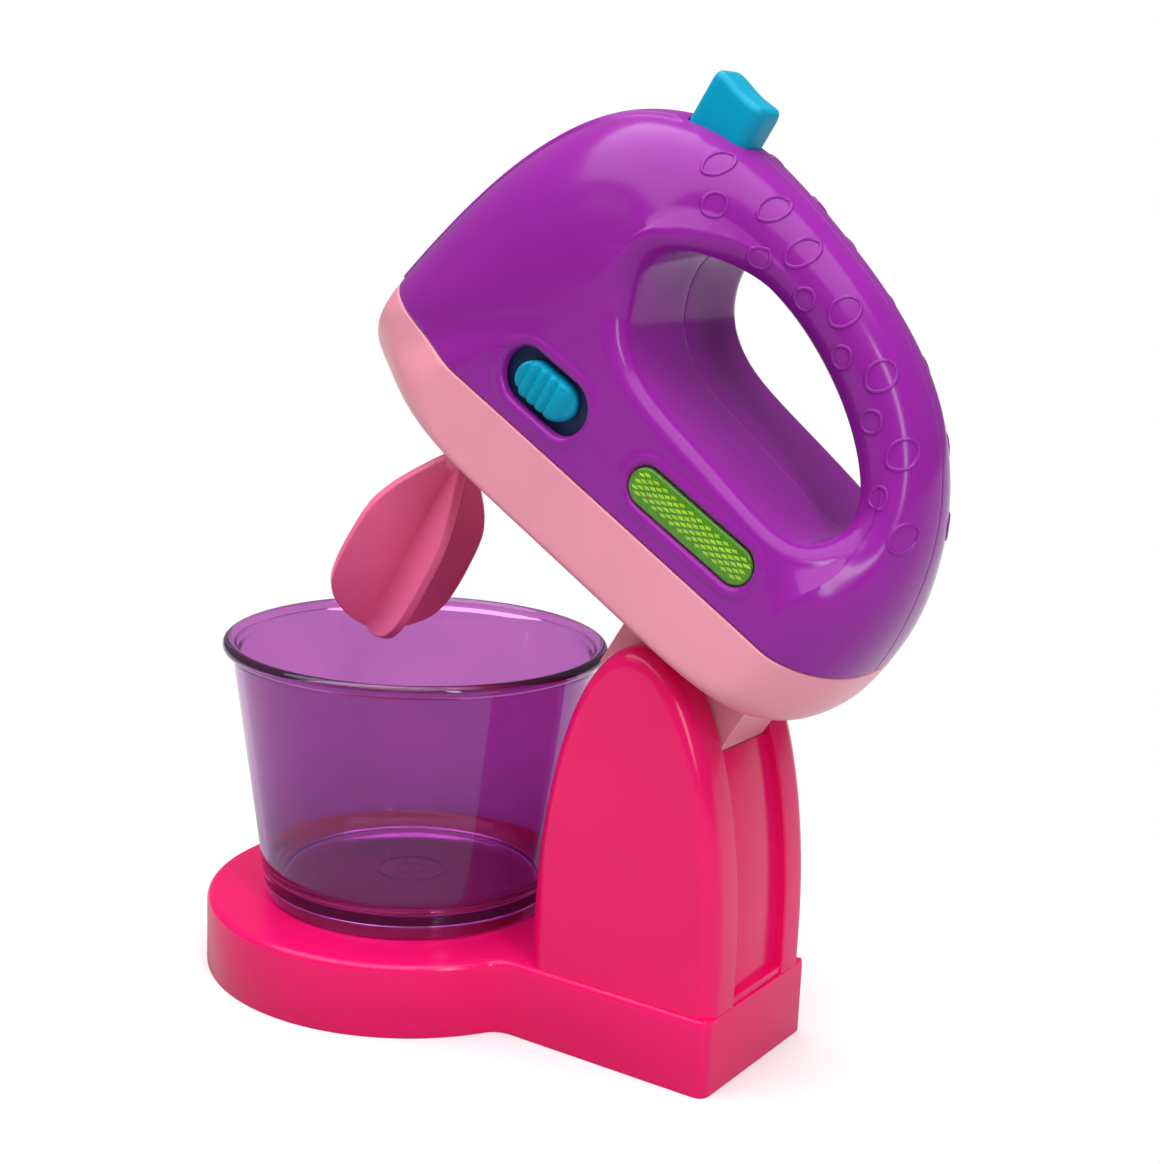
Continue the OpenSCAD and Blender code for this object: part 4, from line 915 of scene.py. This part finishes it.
def lens_cap():
    """The clear green window with a soft edge, and its flange behind the wall."""
    cap = pill_form(
        "lens", LENS_X, LENS_Z, LENS_L, LENS_H, LENS_HIGH[1] - 0.5, LENS_LOW[1], 1.0,
        lambda a, b: 0.5 * ((b - LENS_Z) / (LENS_H / 2)) ** 2, 14,
    )
    flange = pill(
        LENS_X, LENS_Z, LENS_L + LENS_FLANGE, LENS_H + LENS_FLANGE,
        LENS_HIGH[1] - 1.4, LENS_HIGH[1],
    )
    return combine(cap, "UNION", [flange])


FOIL_Y = LENS_LOW[1] + 1.3
LOZENGE_L = 2.7
LOZENGE_H = 1.5
LOZENGE_MARGIN = 3.4
# Height and share of the full size of a lozenge's foot, shoulder and top
LOZENGE_LEVELS = ((-0.05, 1.0), (0.22, 0.62), (0.3, 0.25))


def foil_plate():
    """The green layer behind the window."""
    return pill(LENS_X, LENS_Z, LENS_L - 0.8, LENS_H - 0.8, FOIL_Y, FOIL_Y + 0.3)


def foil_lozenges():
    """Rows of small raised lozenges on the layer behind the window, which catch the light."""
    points = []
    faces = []
    room = (LENS_X, LENS_Z, LENS_L - LOZENGE_MARGIN, LENS_H - LOZENGE_MARGIN)
    corners = [(math.cos(k * math.pi / 2), math.sin(k * math.pi / 2)) for k in range(4)]
    for row in range(-3, 4):
        for step in range(-8, 9):
            a = LENS_X + (step + 0.5 * (row % 2)) * LOZENGE_L
            b = LENS_Z + row * LOZENGE_H * 0.55
            if pill_gap(np.array([[a, 0, b]]), *room)[0] > 0:
                continue
            first = len(points)
            for rise, size in LOZENGE_LEVELS:
                long, high = LOZENGE_L * size, LOZENGE_H * size
                points += [
                    (a + 0.4 * long * c + 0.18 * high * s, FOIL_Y - rise, b + 0.36 * high * s)
                    for c, s in corners
                ]
            sides = grid_faces(3, 4) + [list(range(4)), list(range(8, 12))]
            faces += [[first + k for k in face] for face in sides]
    return new_piece("lozenges", points, faces, HEAD)


# Heights along the button's top, from the nose's side to the tail's
BUTTON_WAVE = [10.5, 10.5, 9.9, 9.3, 9, 9, 9.1]
WAVE_SPREAD = 1.3
BUTTON_SUNK = 5.1
BUTTON_STOP = 14.5


def rounded(radius, past):
    """How much of a rounding's radius is left at a distance into it."""
    return math.sqrt(max(radius ** 2 - past ** 2, 0))


def top_button():
    """The button on top: straight sides, round corners, a soft saddle, its stem and its stop."""
    edge = BUTTON_EDGE
    crown = BUTTON_HIGH[2] - max(BUTTON_WAVE)
    base_z = crown - BUTTON_SUNK
    half_l = BUTTON_L / 2
    straight = half_l - BUTTON_CORNER
    turns = np.radians(np.linspace(90, 6, 10))
    stations = [-straight - BUTTON_CORNER * math.sin(t) for t in turns]
    stations += list(np.linspace(-straight, straight, 25))
    stations += [straight + BUTTON_CORNER * math.sin(t) for t in turns[::-1]]
    rings = []
    along = np.linspace(-half_l, half_l, 61)
    knots = np.linspace(-half_l, half_l, len(BUTTON_WAVE))
    heights = np.interp(along, knots, BUTTON_WAVE)
    bend = np.radians(np.linspace(0, 90, 7))
    for x in stations:
        past_corner = max(abs(x) - half_l + BUTTON_CORNER, 0)
        past_edge = max(abs(x) - half_l + edge, 0)
        half = BUTTON_W / 2 - BUTTON_CORNER + rounded(BUTTON_CORNER, past_corner)
        spread = np.exp(-0.5 * ((along - x) / WAVE_SPREAD) ** 2)
        rise = float((heights * spread).sum() / spread.sum())
        top = crown + rise - (edge - rounded(edge, past_edge))
        side = [(half - edge * (1 - math.cos(t)), top - edge * (1 - math.sin(t))) for t in bend]
        right = side + [((half - edge) * k / 4, top) for k in (3, 2, 1, 0)]
        left = [(-y, z) for y, z in right[-2::-1]]
        line = [(half, base_z)] + right + left + [(-half, base_z)]
        rings.append([(BUTTON_X + x, y, z) for y, z in line])
    body = loft("button", rings, HEAD)
    guide_z = crown - BUTTON_STOP
    return combine(body, "UNION", [
        rod("z", BUTTON_X, 0, 2.5, BUTTON_LOW[2], base_z + 1, HEAD),
        rod("z", BUTTON_X, 0, 3.6, guide_z - 2.3, guide_z - 0.3, HEAD),
    ])


# Raised outlines on the handle in side view: [x, z, length, width, turn of the length from x to z]
HANDLE_LEAVES = [
    [-58.9, 114.1, 9.6, 5.4, 81], [-42.7, 112.9, 9.6, 5.4, 76], [-31.4, 109.1, 10, 5.6, 74],
    [-15.9, 104.3, 9, 6, 79], [-1, 98.1, 8.6, 6.2, 80], [12.8, 87.7, 8.6, 6.2, 70],
    [24.3, 73.1, 8.6, 6.2, 68],
    [-52.4, 107.2, 6, 5.4, 80], [-38.5, 103.5, 5.6, 5.2, 75], [-25, 101.2, 5.4, 5, 75],
    [-10.5, 96.2, 5.4, 5, 75], [2.7, 89.1, 5.4, 5, 75], [14.7, 77.4, 5.4, 5, 70],
]
OUTLINE_R = 0.5
OUTLINE_SINK = 0.2
OUTLINE_STEPS = 56
OUTLINE_SIDES = 8
LEAF_TIPS = 0.25  # how pointed a leaf's ends are


def unit(vector):
    """A vector of the same direction and length 1."""
    return vector / np.linalg.norm(vector)


def head_surface(side):
    """Points of one upper shell and the outward direction at each."""
    grid = head_points(SPOKES, 0, side, SPLIT_HALF)
    along = np.roll(grid, -1, 0) - np.roll(grid, 1, 0)
    normal = np.cross(along, np.gradient(grid, axis=1))
    normal /= np.maximum(np.linalg.norm(normal, axis=2), 1e-9)[..., None]
    on_handle = normal[SPOKES * 15 // 24, grid.shape[1] // 2]
    return grid, -normal if on_handle[1] * side < 0 else normal


def laid_line(grid, normal, x, z, length, width, turn):
    """A leaf's outline laid on a surface: each point with the outward direction there."""
    from_spot = np.hypot(grid[..., 0] - x, grid[..., 2] - z) + 100 * (np.abs(grid[..., 1]) < 2)
    spot = np.unravel_index(from_spot.argmin(), from_spot.shape)
    centre, n = grid[spot], normal[spot]
    t = np.array([math.cos(math.radians(turn)), 0, math.sin(math.radians(turn))])
    t[1] = -(n @ t) / n[1]
    t = unit(t)
    b = np.cross(n, t)
    reach = np.linalg.norm(grid - centre, axis=2) < length
    near, near_n = grid[reach], normal[reach]
    line = []
    for k in np.linspace(0, 2 * math.pi, OUTLINE_STEPS, endpoint=False):
        swing = math.sin(k) * abs(math.sin(k)) ** LEAF_TIPS
        point = centre + t * (length / 2) * math.cos(k) + b * (width / 2) * swing
        away = np.linalg.norm(near - point, axis=1)
        close = away.argsort()[:6]
        share = 1 / (away[close] + 0.05)
        m = unit((near_n[close] * share[:, None]).sum(0))
        under = (near[close] * share[:, None]).sum(0) / share.sum()
        line.append((point - m * ((point - under) @ m), m))
    return line


def handle_outlines(side):
    """Thin raised lines round leaf shapes on the handle's side, half sunk in the surface."""
    grid, normal = head_surface(side)
    points = []
    faces = []
    for leaf in HANDLE_LEAVES:
        line = laid_line(grid, normal, *leaf)
        first = len(points)
        for k, (spot, m) in enumerate(line):
            ahead = unit(line[(k + 1) % len(line)][0] - line[k - 1][0])
            out = np.cross(ahead, m)
            for q in np.linspace(0, 2 * math.pi, OUTLINE_SIDES, endpoint=False):
                lift = math.sin(q) - OUTLINE_SINK
                points.append(spot + OUTLINE_R * (math.cos(q) * out + lift * m))
        round_it = grid_faces(len(line), OUTLINE_SIDES, True)
        faces += [[first + k for k in face] for face in round_it]
    return new_piece("outlines", points, faces, HEAD)


# Materials

def add_node(tree, kind, values=(), **settings):
    """A shader node with the given input values and settings."""
    node = tree.nodes.new(kind)
    for name, value in settings.items():
        setattr(node, name, value)
    for name, value in dict(values).items():
        node.inputs[name].default_value = value
    return node


class Recipe:
    """Builds a node material step by step."""

    noise_low = 0.15
    noise_high = 0.85

    def __init__(self, name, values=()):
        """Starts a material, with the values that are the same all over on the shader's sockets."""
        self.material = bpy.data.materials.new(name)
        self.material.use_nodes = True
        self.tree = self.material.node_tree
        self.shader = self.tree.nodes["Principled BSDF"]
        self.place = add_node(self.tree, "ShaderNodeTexCoord")
        for socket, value in dict(values).items():
            self.shader.inputs[socket].default_value = value

    def noise(self, size, detail, rough=0.5):
        """Noise with features of about the given size in millimetres."""
        values = {"Scale": 1 / (size * MM), "Detail": detail, "Roughness": rough}
        node = add_node(self.tree, "ShaderNodeTexNoise", values)
        self.tree.links.new(self.place.outputs["Object"], node.inputs["Vector"])
        return node.outputs["Fac"]

    def tones(self, value, colours):
        """A colour that runs through the given ones as a noise value rises."""
        ramp = add_node(self.tree, "ShaderNodeValToRGB")
        stops = ramp.color_ramp.elements
        last = len(colours) - 1
        for k in range(1, last):
            stops.new(self.noise_low + (self.noise_high - self.noise_low) * k / last)
        stops[0].position = self.noise_low
        stops[last].position = self.noise_high
        for stop, colour in zip(stops, colours):
            stop.color = (*colour, 1)
        self.tree.links.new(value, ramp.inputs["Fac"])
        self.tree.links.new(ramp.outputs["Color"], self.shader.inputs["Base Color"])

    def roughness(self, value, low, high):
        """A roughness that runs from low to high as a noise value rises."""
        node = add_node(self.tree, "ShaderNodeMapRange", {
            "From Min": self.noise_low, "From Max": self.noise_high, "To Min": low, "To Max": high,
        })
        self.tree.links.new(value, node.inputs["Value"])
        self.tree.links.new(node.outputs["Result"], self.shader.inputs["Roughness"])

    def bump(self, value, depth, strength):
        """Fine relief, its depth in millimetres."""
        values = {"Strength": strength, "Distance": depth * MM}
        node = add_node(self.tree, "ShaderNodeBump", values)
        self.tree.links.new(value, node.inputs["Height"])
        self.tree.links.new(node.outputs["Normal"], self.shader.inputs["Normal"])


def shade(colour, factor):
    """The same colour, darker or lighter."""
    return tuple(min(c * factor, 1) for c in colour)


def moulded(name, colour, rough, coat, relief=0.02, gloss=0.45):
    """Moulded plastic: faint clouds in its tone and gloss, and a slight ripple from the mould."""
    values = {"Coat Weight": coat, "Coat Roughness": 0.05, "Specular IOR Level": gloss}
    recipe = Recipe(name, values)
    recipe.tones(recipe.noise(38, 2), [shade(colour, 0.88), colour, shade(colour, 1.08)])
    recipe.roughness(recipe.noise(14, 2), rough - 0.04, rough + 0.05)
    recipe.bump(recipe.noise(9, 2), relief, 0.35)
    return recipe.material


def matt(name, colour, rough):
    """Matt or satin plastic with a fine spark-eroded grain."""
    recipe = Recipe(name)
    recipe.tones(recipe.noise(9, 5), [shade(colour, 0.86), colour, shade(colour, 1.1)])
    recipe.roughness(recipe.noise(4, 4), rough - 0.08, rough + 0.1)
    recipe.bump(recipe.noise(0.35, 2), 0.02, 0.5)
    return recipe.material


def metal(name, colour, rough=0.3):
    """Plain metal with drawn streaks and slight stains."""
    recipe = Recipe(name, {"Metallic": 1.0})
    recipe.tones(recipe.noise(6, 6, 0.7), [shade(colour, 0.8), colour, shade(colour, 1.08)])
    recipe.roughness(recipe.noise(1.2, 4), rough - 0.1, rough + 0.12)
    recipe.bump(recipe.noise(0.5, 3), 0.01, 0.4)
    return recipe.material


def clear_plastic(name, colour, deep, rough=0.04, through=0.96):
    """Tinted clear plastic, a little cloudy, with faint flow marks."""
    recipe = Recipe(name, {"Transmission Weight": through, "IOR": 1.42})
    recipe.tones(recipe.noise(30, 3), [deep, colour, shade(colour, 1.05)])
    recipe.roughness(recipe.noise(12, 2), rough - 0.02, rough + 0.03)
    recipe.bump(recipe.noise(11, 2), 0.02, 0.25)
    return recipe.material


def sparkle(name, colour, bright):
    """The foil-like layer behind the window: green, with yellow glints."""
    recipe = Recipe(name, {"Metallic": 0.2})
    recipe.tones(recipe.noise(2.2, 3, 0.6), [shade(colour, 0.85), colour, bright])
    recipe.roughness(recipe.noise(0.8, 3), 0.22, 0.4)
    recipe.bump(recipe.noise(0.4, 2), 0.03, 0.6)
    return recipe.material


# Settings

def colour_setting(name, description, *tone):
    """A setting for a colour, its default written from 0 to 255."""
    return bpy.props.FloatVectorProperty(
        name=name, description=description, subtype="COLOR", size=3, min=0, max=1,
        default=tint(*tone))


def angle_setting(name, description, degrees):
    """A setting for an angle, its default in degrees."""
    return bpy.props.FloatProperty(
        name=name, description=description, subtype="ANGLE", default=math.radians(degrees))


def power_setting(name, description, watts):
    """A setting for a light's power."""
    return bpy.props.FloatProperty(
        name=name, description=description, unit="POWER", default=watts, min=0)


class MixerColours(bpy.types.PropertyGroup):
    """Colours of the mouldings."""

    hot_pink: colour_setting(
        "Base and tower", "Colour of the base, the tower and its ears", 238, 12, 104)
    light_pink: colour_setting(
        "Tray", "Colour of the head's lower tray and its neck", 236, 150, 170)
    purple: colour_setting("Head", "Colour of the head's two upper shells", 142, 32, 150)
    rose: colour_setting("Beater", "Colour of the beater", 244, 110, 158)
    turquoise: colour_setting(
        "Switch and button", "Colour of the slider and the button", 0, 152, 186)
    bowl: colour_setting("Bowl", "Tint of the clear bowl", 188, 109, 188)
    window: colour_setting("Window", "Tint of the clear window on the side", 206, 242, 120)


class MixerHead(bpy.types.PropertyGroup):
    """Sizes of the head's details."""

    seam_round: bpy.props.FloatProperty(
        name="Parting edge", description="Rounding of the shells' parting edges, in mm",
        default=0.4, min=0.1, max=1)
    band_rise: bpy.props.FloatProperty(
        name="Nose band", description="How far the raised band down the nose stands up, in mm",
        default=1.2, min=0, max=2)


class MixerStage(bpy.types.PropertyGroup):
    """Camera and lights."""

    azimuth: angle_setting("Azimuth", "Where the camera stands round the mixer", 33.26)
    elevation: angle_setting("Elevation", "How high the camera looks down from", 12.156)
    roll: angle_setting("Roll", "How far the camera is turned about its own line of sight", 2.513)
    distance: bpy.props.FloatProperty(
        name="Distance", description="From the camera to the point it looks at",
        unit="LENGTH", default=0.47696, min=0.1)
    aim: bpy.props.FloatVectorProperty(
        name="Aim", description="The point the camera looks at",
        subtype="TRANSLATION", size=3, default=(0.05123, 0, 0.11255))
    lens: bpy.props.FloatProperty(
        name="Focal length", description="On a sensor 36 mm wide",
        unit="CAMERA", default=59.117, min=10)
    top_power: power_setting("Top light", "Power of the large softbox overhead", 35.5)
    key_power: power_setting("Key light", "Power of the softbox on the left", 0.4)
    strip_power: power_setting("Side strip", "Power of the narrow light on the right", 3.0)
    surround: bpy.props.FloatProperty(
        name="Surround", description="Strength of the even light from all round",
        default=0.21, min=0, max=2)


# Operators

def colour_of(context, name):
    """A colour from the settings."""
    return tuple(getattr(context.scene.mixer_colours, name))


class MIXER_OT_shells(bpy.types.Operator):
    """Builds the two purple upper shells of the head"""

    bl_idname = "mixer.shells"
    bl_label = "Upper shells"

    def execute(self, context):
        sizes = context.scene.mixer_head
        material = moulded("Purple plastic", colour_of(context, "purple"), 0.2, 0.05, 0.03, 0.2)
        for side, end, node in ((-1, "near", "upper_shell_left"), (1, "far", "upper_shell_right")):
            shell = upper_shell(side, sizes.seam_round, sizes.band_rise)
            lines = handle_outlines(side)
            for piece, name, nodes, smooth in (
                (shell, "Upper_shell_", [node], 30), (lines, "Handle_outlines_", [], 60),
            ):
                finish_piece(piece, name + end, material, "head", nodes, smooth)
        return {"FINISHED"}


class MIXER_OT_tray(bpy.types.Operator):
    """Builds the light pink tray under the head and finishes the neck below it"""

    bl_idname = "mixer.tray"
    bl_label = "Tray and neck"

    def execute(self, context):
        colour = colour_of(context, "light_pink")
        material = moulded("Light pink plastic", colour, 0.32, 0.05, 0.02, 0.4)
        body = board_posts(tray())
        finish_piece(body, "Tray", material, "head", ["lower_shell"], 30)
        for node in ("tilt_neck", "battery_door"):
            dress(node, material)
        return {"FINISHED"}


class MIXER_OT_base(bpy.types.Operator):
    """Builds the hot pink base, the tower's ears and its core"""

    bl_idname = "mixer.base"
    bl_label = "Base and tower"

    def execute(self, context):
        material = moulded("Hot pink plastic", colour_of(context, "hot_pink"), 0.2, 0, 0.02, 0.3)
        for piece, name, node in (
            (base(), "Base", "base_shell"), (ear(-1), "Ear_near", "tower_left"),
            (ear(1), "Ear_far", "tower_right"), (core(), "Tower_core", "tower_core"),
        ):
            finish_piece(piece, name, material, "base", [node], 30)
        dress("base_plate", material)
        return {"FINISHED"}


class MIXER_OT_bowl(bpy.types.Operator):
    """Builds the clear purple bowl"""

    bl_idname = "mixer.bowl"
    bl_label = "Bowl"

    def execute(self, context):
        colour = colour_of(context, "bowl")
        material = clear_plastic("Clear purple plastic", colour, shade(colour, 0.85))
        finish_piece(bowl(), "Bowl", material, "bowl", ["bowl"], 40)
        return {"FINISHED"}


class MIXER_OT_beater(bpy.types.Operator):
    """Builds the beater with its two crossed leaves"""

    bl_idname = "mixer.beater"
    bl_label = "Beater"

    def execute(self, context):
        material = moulded("Rose plastic", colour_of(context, "rose"), 0.34, 0, 0.03)
        finish_piece(beater(), "Beater", material, "beater", ["beater"], 35)
        return {"FINISHED"}


class MIXER_OT_controls(bpy.types.Operator):
    """Builds the switch slider and the button on top"""

    bl_idname = "mixer.controls"
    bl_label = "Slider and button"

    def execute(self, context):
        colour = colour_of(context, "turquoise")
        material = moulded("Turquoise plastic", colour, 0.34, 0, 0.02, 0.15)
        for piece, name, body, node, smooth in (
            (slider(), "Slider", "slider", "power_slider", 40),
            (top_button(), "Top_button", "button", "top_button", 35),
        ):
            finish_piece(piece, name, material, body, [node], smooth)
        return {"FINISHED"}


class MIXER_OT_window(bpy.types.Operator):
    """Builds the green window and the sparkle layer behind it"""

    bl_idname = "mixer.window"
    bl_label = "Window"

    def execute(self, context):
        colour = colour_of(context, "window")
        clear = clear_plastic("Clear green plastic", colour, shade(colour, 0.8), 0.06, 0.95)
        foil = sparkle("Green foil", tint(70, 146, 2), tint(96, 176, 6))
        bright = sparkle("Yellow foil", tint(226, 246, 60), tint(244, 255, 110))
        for piece, name, material, nodes, smooth in (
            (lens_cap(), "Window", clear, ["lens"], 40),
            (foil_plate(), "Window_foil", foil, [], 20),
            (foil_lozenges(), "Window_lozenges", bright, [], 20),
        ):
            finish_piece(piece, name, material, "head", nodes, smooth)
        return {"FINISHED"}


def dress(node, material):
    """Gives a CAD node its material."""
    piece = frame["nodes"][node]
    piece.data.materials.clear()
    piece.data.materials.append(material)


class MIXER_OT_inner_parts(bpy.types.Operator):
    """Finishes the screws, pins, gears, motor, batteries and others that keep their own shape"""

    bl_idname = "mixer.inner_parts"
    bl_label = "Inner parts"

    def execute(self, context):
        steel = metal("Steel", tint(200, 202, 206))
        nylon = matt("Natural nylon", tint(236, 233, 222), 0.5)
        # Dark navy is painted shade on the switch recess, standing for the shadowed inside of the
        # slot; on the hidden button switch it is that part's own dark plastic.
        dark_plastic_and_recess_shade = matt("Dark plastic", tint(4, 40, 84), 0.6)
        groups = {
            steel: [
                "base_screws", "tower_screws", "hinge_pin", "neck_screws", "shell_screws",
                "tray_screws", "door_screw", "battery_contacts", "gearbox_screws", "gear_axle",
                "motor", "slide_switch", "button_spring", "drive_spindle",
            ],
            nylon: [
                "hinge_washers", "gearbox_base", "gearbox_cover", "reflector", "button_guide",
                "output_gear", "idler_gear",
            ],
            # The switch recess takes painted shade here: its dark navy stands for the slot's
            # shadowed inside.
            dark_plastic_and_recess_shade: ["switch_recess", "button_switch"],
            metal("Bronze", tint(190, 140, 80), 0.35): ["spindle_bush"],
            metal("Brass", tint(222, 190, 120), 0.3): ["motor_pinion"],
            moulded("Cell jacket", tint(208, 128, 50), 0.36, 0.1): ["batteries"],
            matt("Board", tint(26, 112, 62), 0.4): ["circuit_board"],
            clear_plastic("Clear lamp", tint(236, 246, 236), tint(220, 236, 220), 0.05): ["led"],
        }
        for material, nodes in groups.items():
            for node in nodes:
                dress(node, material)
        return {"FINISHED"}


# The floor's rings, in metres, round a point under the object
FLOOR_X = 0.05
FLOOR_RINGS = (0.0005, 0.15, 0.4, 1.2, 4.0)
FLOOR_STEPS = 96


def softbox(name, power, size, place, aim):
    """A rectangular studio light that points at a place."""
    lamp = bpy.data.lights.new(name, "AREA")
    lamp.shape = "RECTANGLE"
    lamp.size, lamp.size_y = size
    lamp.energy = power
    holder = bpy.data.objects.new(name, lamp)
    bpy.context.scene.collection.objects.link(holder)
    holder.location = place
    holder.rotation_euler = (Vector(aim) - Vector(place)).to_track_quat("-Z", "Y").to_euler()


def light_path_mix(tree, output, rays, closures, share=None):
    """Shows the second of two closures to the named kinds of ray, and the first to all others."""
    ray = add_node(tree, "ShaderNodeLightPath")
    shown = ray.outputs[rays[0]]
    for name in rays[1:]:
        either = add_node(tree, "ShaderNodeMath", operation="MAXIMUM")
        tree.links.new(shown, either.inputs[0])
        tree.links.new(ray.outputs[name], either.inputs[1])
        shown = either.outputs[0]
    if share:
        both = add_node(tree, "ShaderNodeMath", operation="MULTIPLY")
        tree.links.new(share, both.inputs[0])
        tree.links.new(shown, both.inputs[1])
        shown = both.outputs[0]
    mix = add_node(tree, "ShaderNodeMixShader")
    out = add_node(tree, output)
    tree.links.new(shown, mix.inputs["Fac"])
    for k, closure in enumerate(closures):
        tree.links.new(closure.outputs[0], mix.inputs[k + 1])
    tree.links.new(mix.outputs[0], out.inputs["Surface"])
    return ray


def floor_material():
    """A white sweep: lit round the object, to keep its shadow, and plain white further out."""
    material = bpy.data.materials.new("Floor")
    material.use_nodes = True
    tree = material.node_tree
    link = tree.links.new
    tree.nodes.clear()
    place = add_node(tree, "ShaderNodeTexCoord").outputs["Object"]
    grain = add_node(tree, "ShaderNodeTexNoise", {"Scale": 6})
    tones = add_node(tree, "ShaderNodeMapRange", {"To Min": 0.9, "To Max": 0.94})
    paper = add_node(tree, "ShaderNodeBsdfDiffuse")
    white = add_node(tree, "ShaderNodeEmission")
    away = add_node(tree, "ShaderNodeVectorMath", operation="LENGTH")
    fade = add_node(tree, "ShaderNodeMapRange", {"From Min": 0.1, "From Max": 0.2})
    link(place, away.inputs[0])
    link(away.outputs["Value"], fade.inputs["Value"])
    rays = ("Is Camera Ray", "Is Glossy Ray", "Is Transmission Ray")
    ray = light_path_mix(
        tree, "ShaderNodeOutputMaterial", rays, (paper, white), fade.outputs["Result"],
    )
    # It looks white to the camera but throws less light back up at the object
    bounce = add_node(tree, "ShaderNodeMapRange", {"To Min": 0.5, "To Max": 1})
    level = add_node(tree, "ShaderNodeMath", operation="MULTIPLY")
    link(ray.outputs["Is Camera Ray"], bounce.inputs["Value"])
    link(place, grain.inputs["Vector"])
    link(grain.outputs["Fac"], tones.inputs["Value"])
    link(tones.outputs["Result"], level.inputs[0])
    link(bounce.outputs["Result"], level.inputs[1])
    link(level.outputs[0], paper.inputs["Color"])
    return material


def floor_piece():
    """The floor, a disc with a pinhole in its middle."""
    turns = np.linspace(0, 2 * math.pi, FLOOR_STEPS, endpoint=False)
    rings = [(FLOOR_X + r * math.cos(a), r * math.sin(a), 0) for r in FLOOR_RINGS for a in turns]
    mesh = bpy.data.meshes.new("Floor")
    mesh.from_pydata(rings, [], grid_faces(len(FLOOR_RINGS), FLOOR_STEPS))
    floor = bpy.data.objects.new("Floor", mesh)
    bpy.context.scene.collection.objects.link(floor)
    mesh.materials.append(floor_material())
    return floor


def surround(strength):
    """Even light from all round, seen as white."""
    world = bpy.data.worlds.new("Surround")
    world.use_nodes = True
    tree = world.node_tree
    tree.nodes.clear()
    even, white = (
        add_node(tree, "ShaderNodeBackground", {"Color": (1, 1, 1, 1), "Strength": level})
        for level in (strength, 1)
    )
    rays = ("Is Camera Ray", "Is Transmission Ray")
    light_path_mix(tree, "ShaderNodeOutputWorld", rays, (even, white))
    return world


def camera(stage):
    """The camera of the photograph."""
    az, el = stage.azimuth, stage.elevation
    back = Vector((math.sin(az) * math.cos(el), -math.cos(az) * math.cos(el), math.sin(el)))
    level = Vector((math.cos(az), math.sin(az), 0))
    upright = back.cross(level)
    c, s = math.cos(stage.roll), math.sin(stage.roll)
    right = level * c + upright * s
    up = upright * c - level * s
    view = bpy.data.cameras.new("Camera")
    view.sensor_fit = "HORIZONTAL"
    view.sensor_width = 36
    view.lens = stage.lens
    view.clip_start = 0.01
    view.clip_end = 20
    holder = bpy.data.objects.new("Camera", view)
    bpy.context.scene.collection.objects.link(holder)
    turned = Matrix((right, up, back)).transposed().to_4x4()
    holder.matrix_world = Matrix.Translation(Vector(stage.aim) + back * stage.distance) @ turned
    return holder


class MIXER_OT_stage(bpy.types.Operator):
    """Builds the floor, the surround, the softboxes and the camera"""

    bl_idname = "mixer.stage"
    bl_label = "Stage"

    def execute(self, context):
        stage = context.scene.mixer_stage
        scene = context.scene
        scene.view_settings.view_transform = "Standard"
        floor = floor_piece()
        scene.world = surround(stage.surround)
        for name, power, size, place in (
            ("Top softbox", stage.top_power, (2.0, 1.8), (0.0, -0.2, 1.3)),
            ("Key softbox", stage.key_power, (0.5, 0.25), (-0.55, -0.95, 0.75)),
            ("Side strip", stage.strip_power, (0.12, 0.6), (0.8, -0.45, 0.5)),
        ):
            softbox(name, power, size, place, stage.aim)
        scene.camera = camera(stage)
        return {"FINISHED"}


class MIXER_PT_panel(bpy.types.Panel):
    """Lists the mixer's operators and settings"""

    bl_idname = "MIXER_PT_panel"
    bl_label = "Toy stand mixer"
    bl_space_type = "VIEW_3D"
    bl_region_type = "UI"
    bl_category = "Mixer"

    def draw(self, context):
        for operator in OPERATORS:
            self.layout.operator(operator.bl_idname)
        for place in GROUPS:
            group = getattr(context.scene, place)
            box = self.layout.box()
            for name in group.__annotations__:
                box.prop(group, name)


GROUPS = {"mixer_colours": MixerColours, "mixer_head": MixerHead, "mixer_stage": MixerStage}
OPERATORS = [
    MIXER_OT_stage, MIXER_OT_base, MIXER_OT_bowl, MIXER_OT_tray, MIXER_OT_shells, MIXER_OT_beater,
    MIXER_OT_controls, MIXER_OT_window, MIXER_OT_inner_parts,
]


def register():
    for name, group in GROUPS.items():
        bpy.utils.register_class(group)
        setattr(bpy.types.Scene, name, bpy.props.PointerProperty(type=group))
    for operator in OPERATORS:
        bpy.utils.register_class(operator)
    bpy.utils.register_class(MIXER_PT_panel)


def unregister():
    bpy.utils.unregister_class(MIXER_PT_panel)
    for operator in reversed(OPERATORS):
        bpy.utils.unregister_class(operator)
    for name, group in GROUPS.items():
        delattr(bpy.types.Scene, name)
        bpy.utils.unregister_class(group)


def main():
    """Builds the mixer."""
    register()
    for operator in OPERATORS:
        category, name = operator.bl_idname.split(".")
        getattr(getattr(bpy.ops, category), name)()


if __name__ == "__main__":
    main()
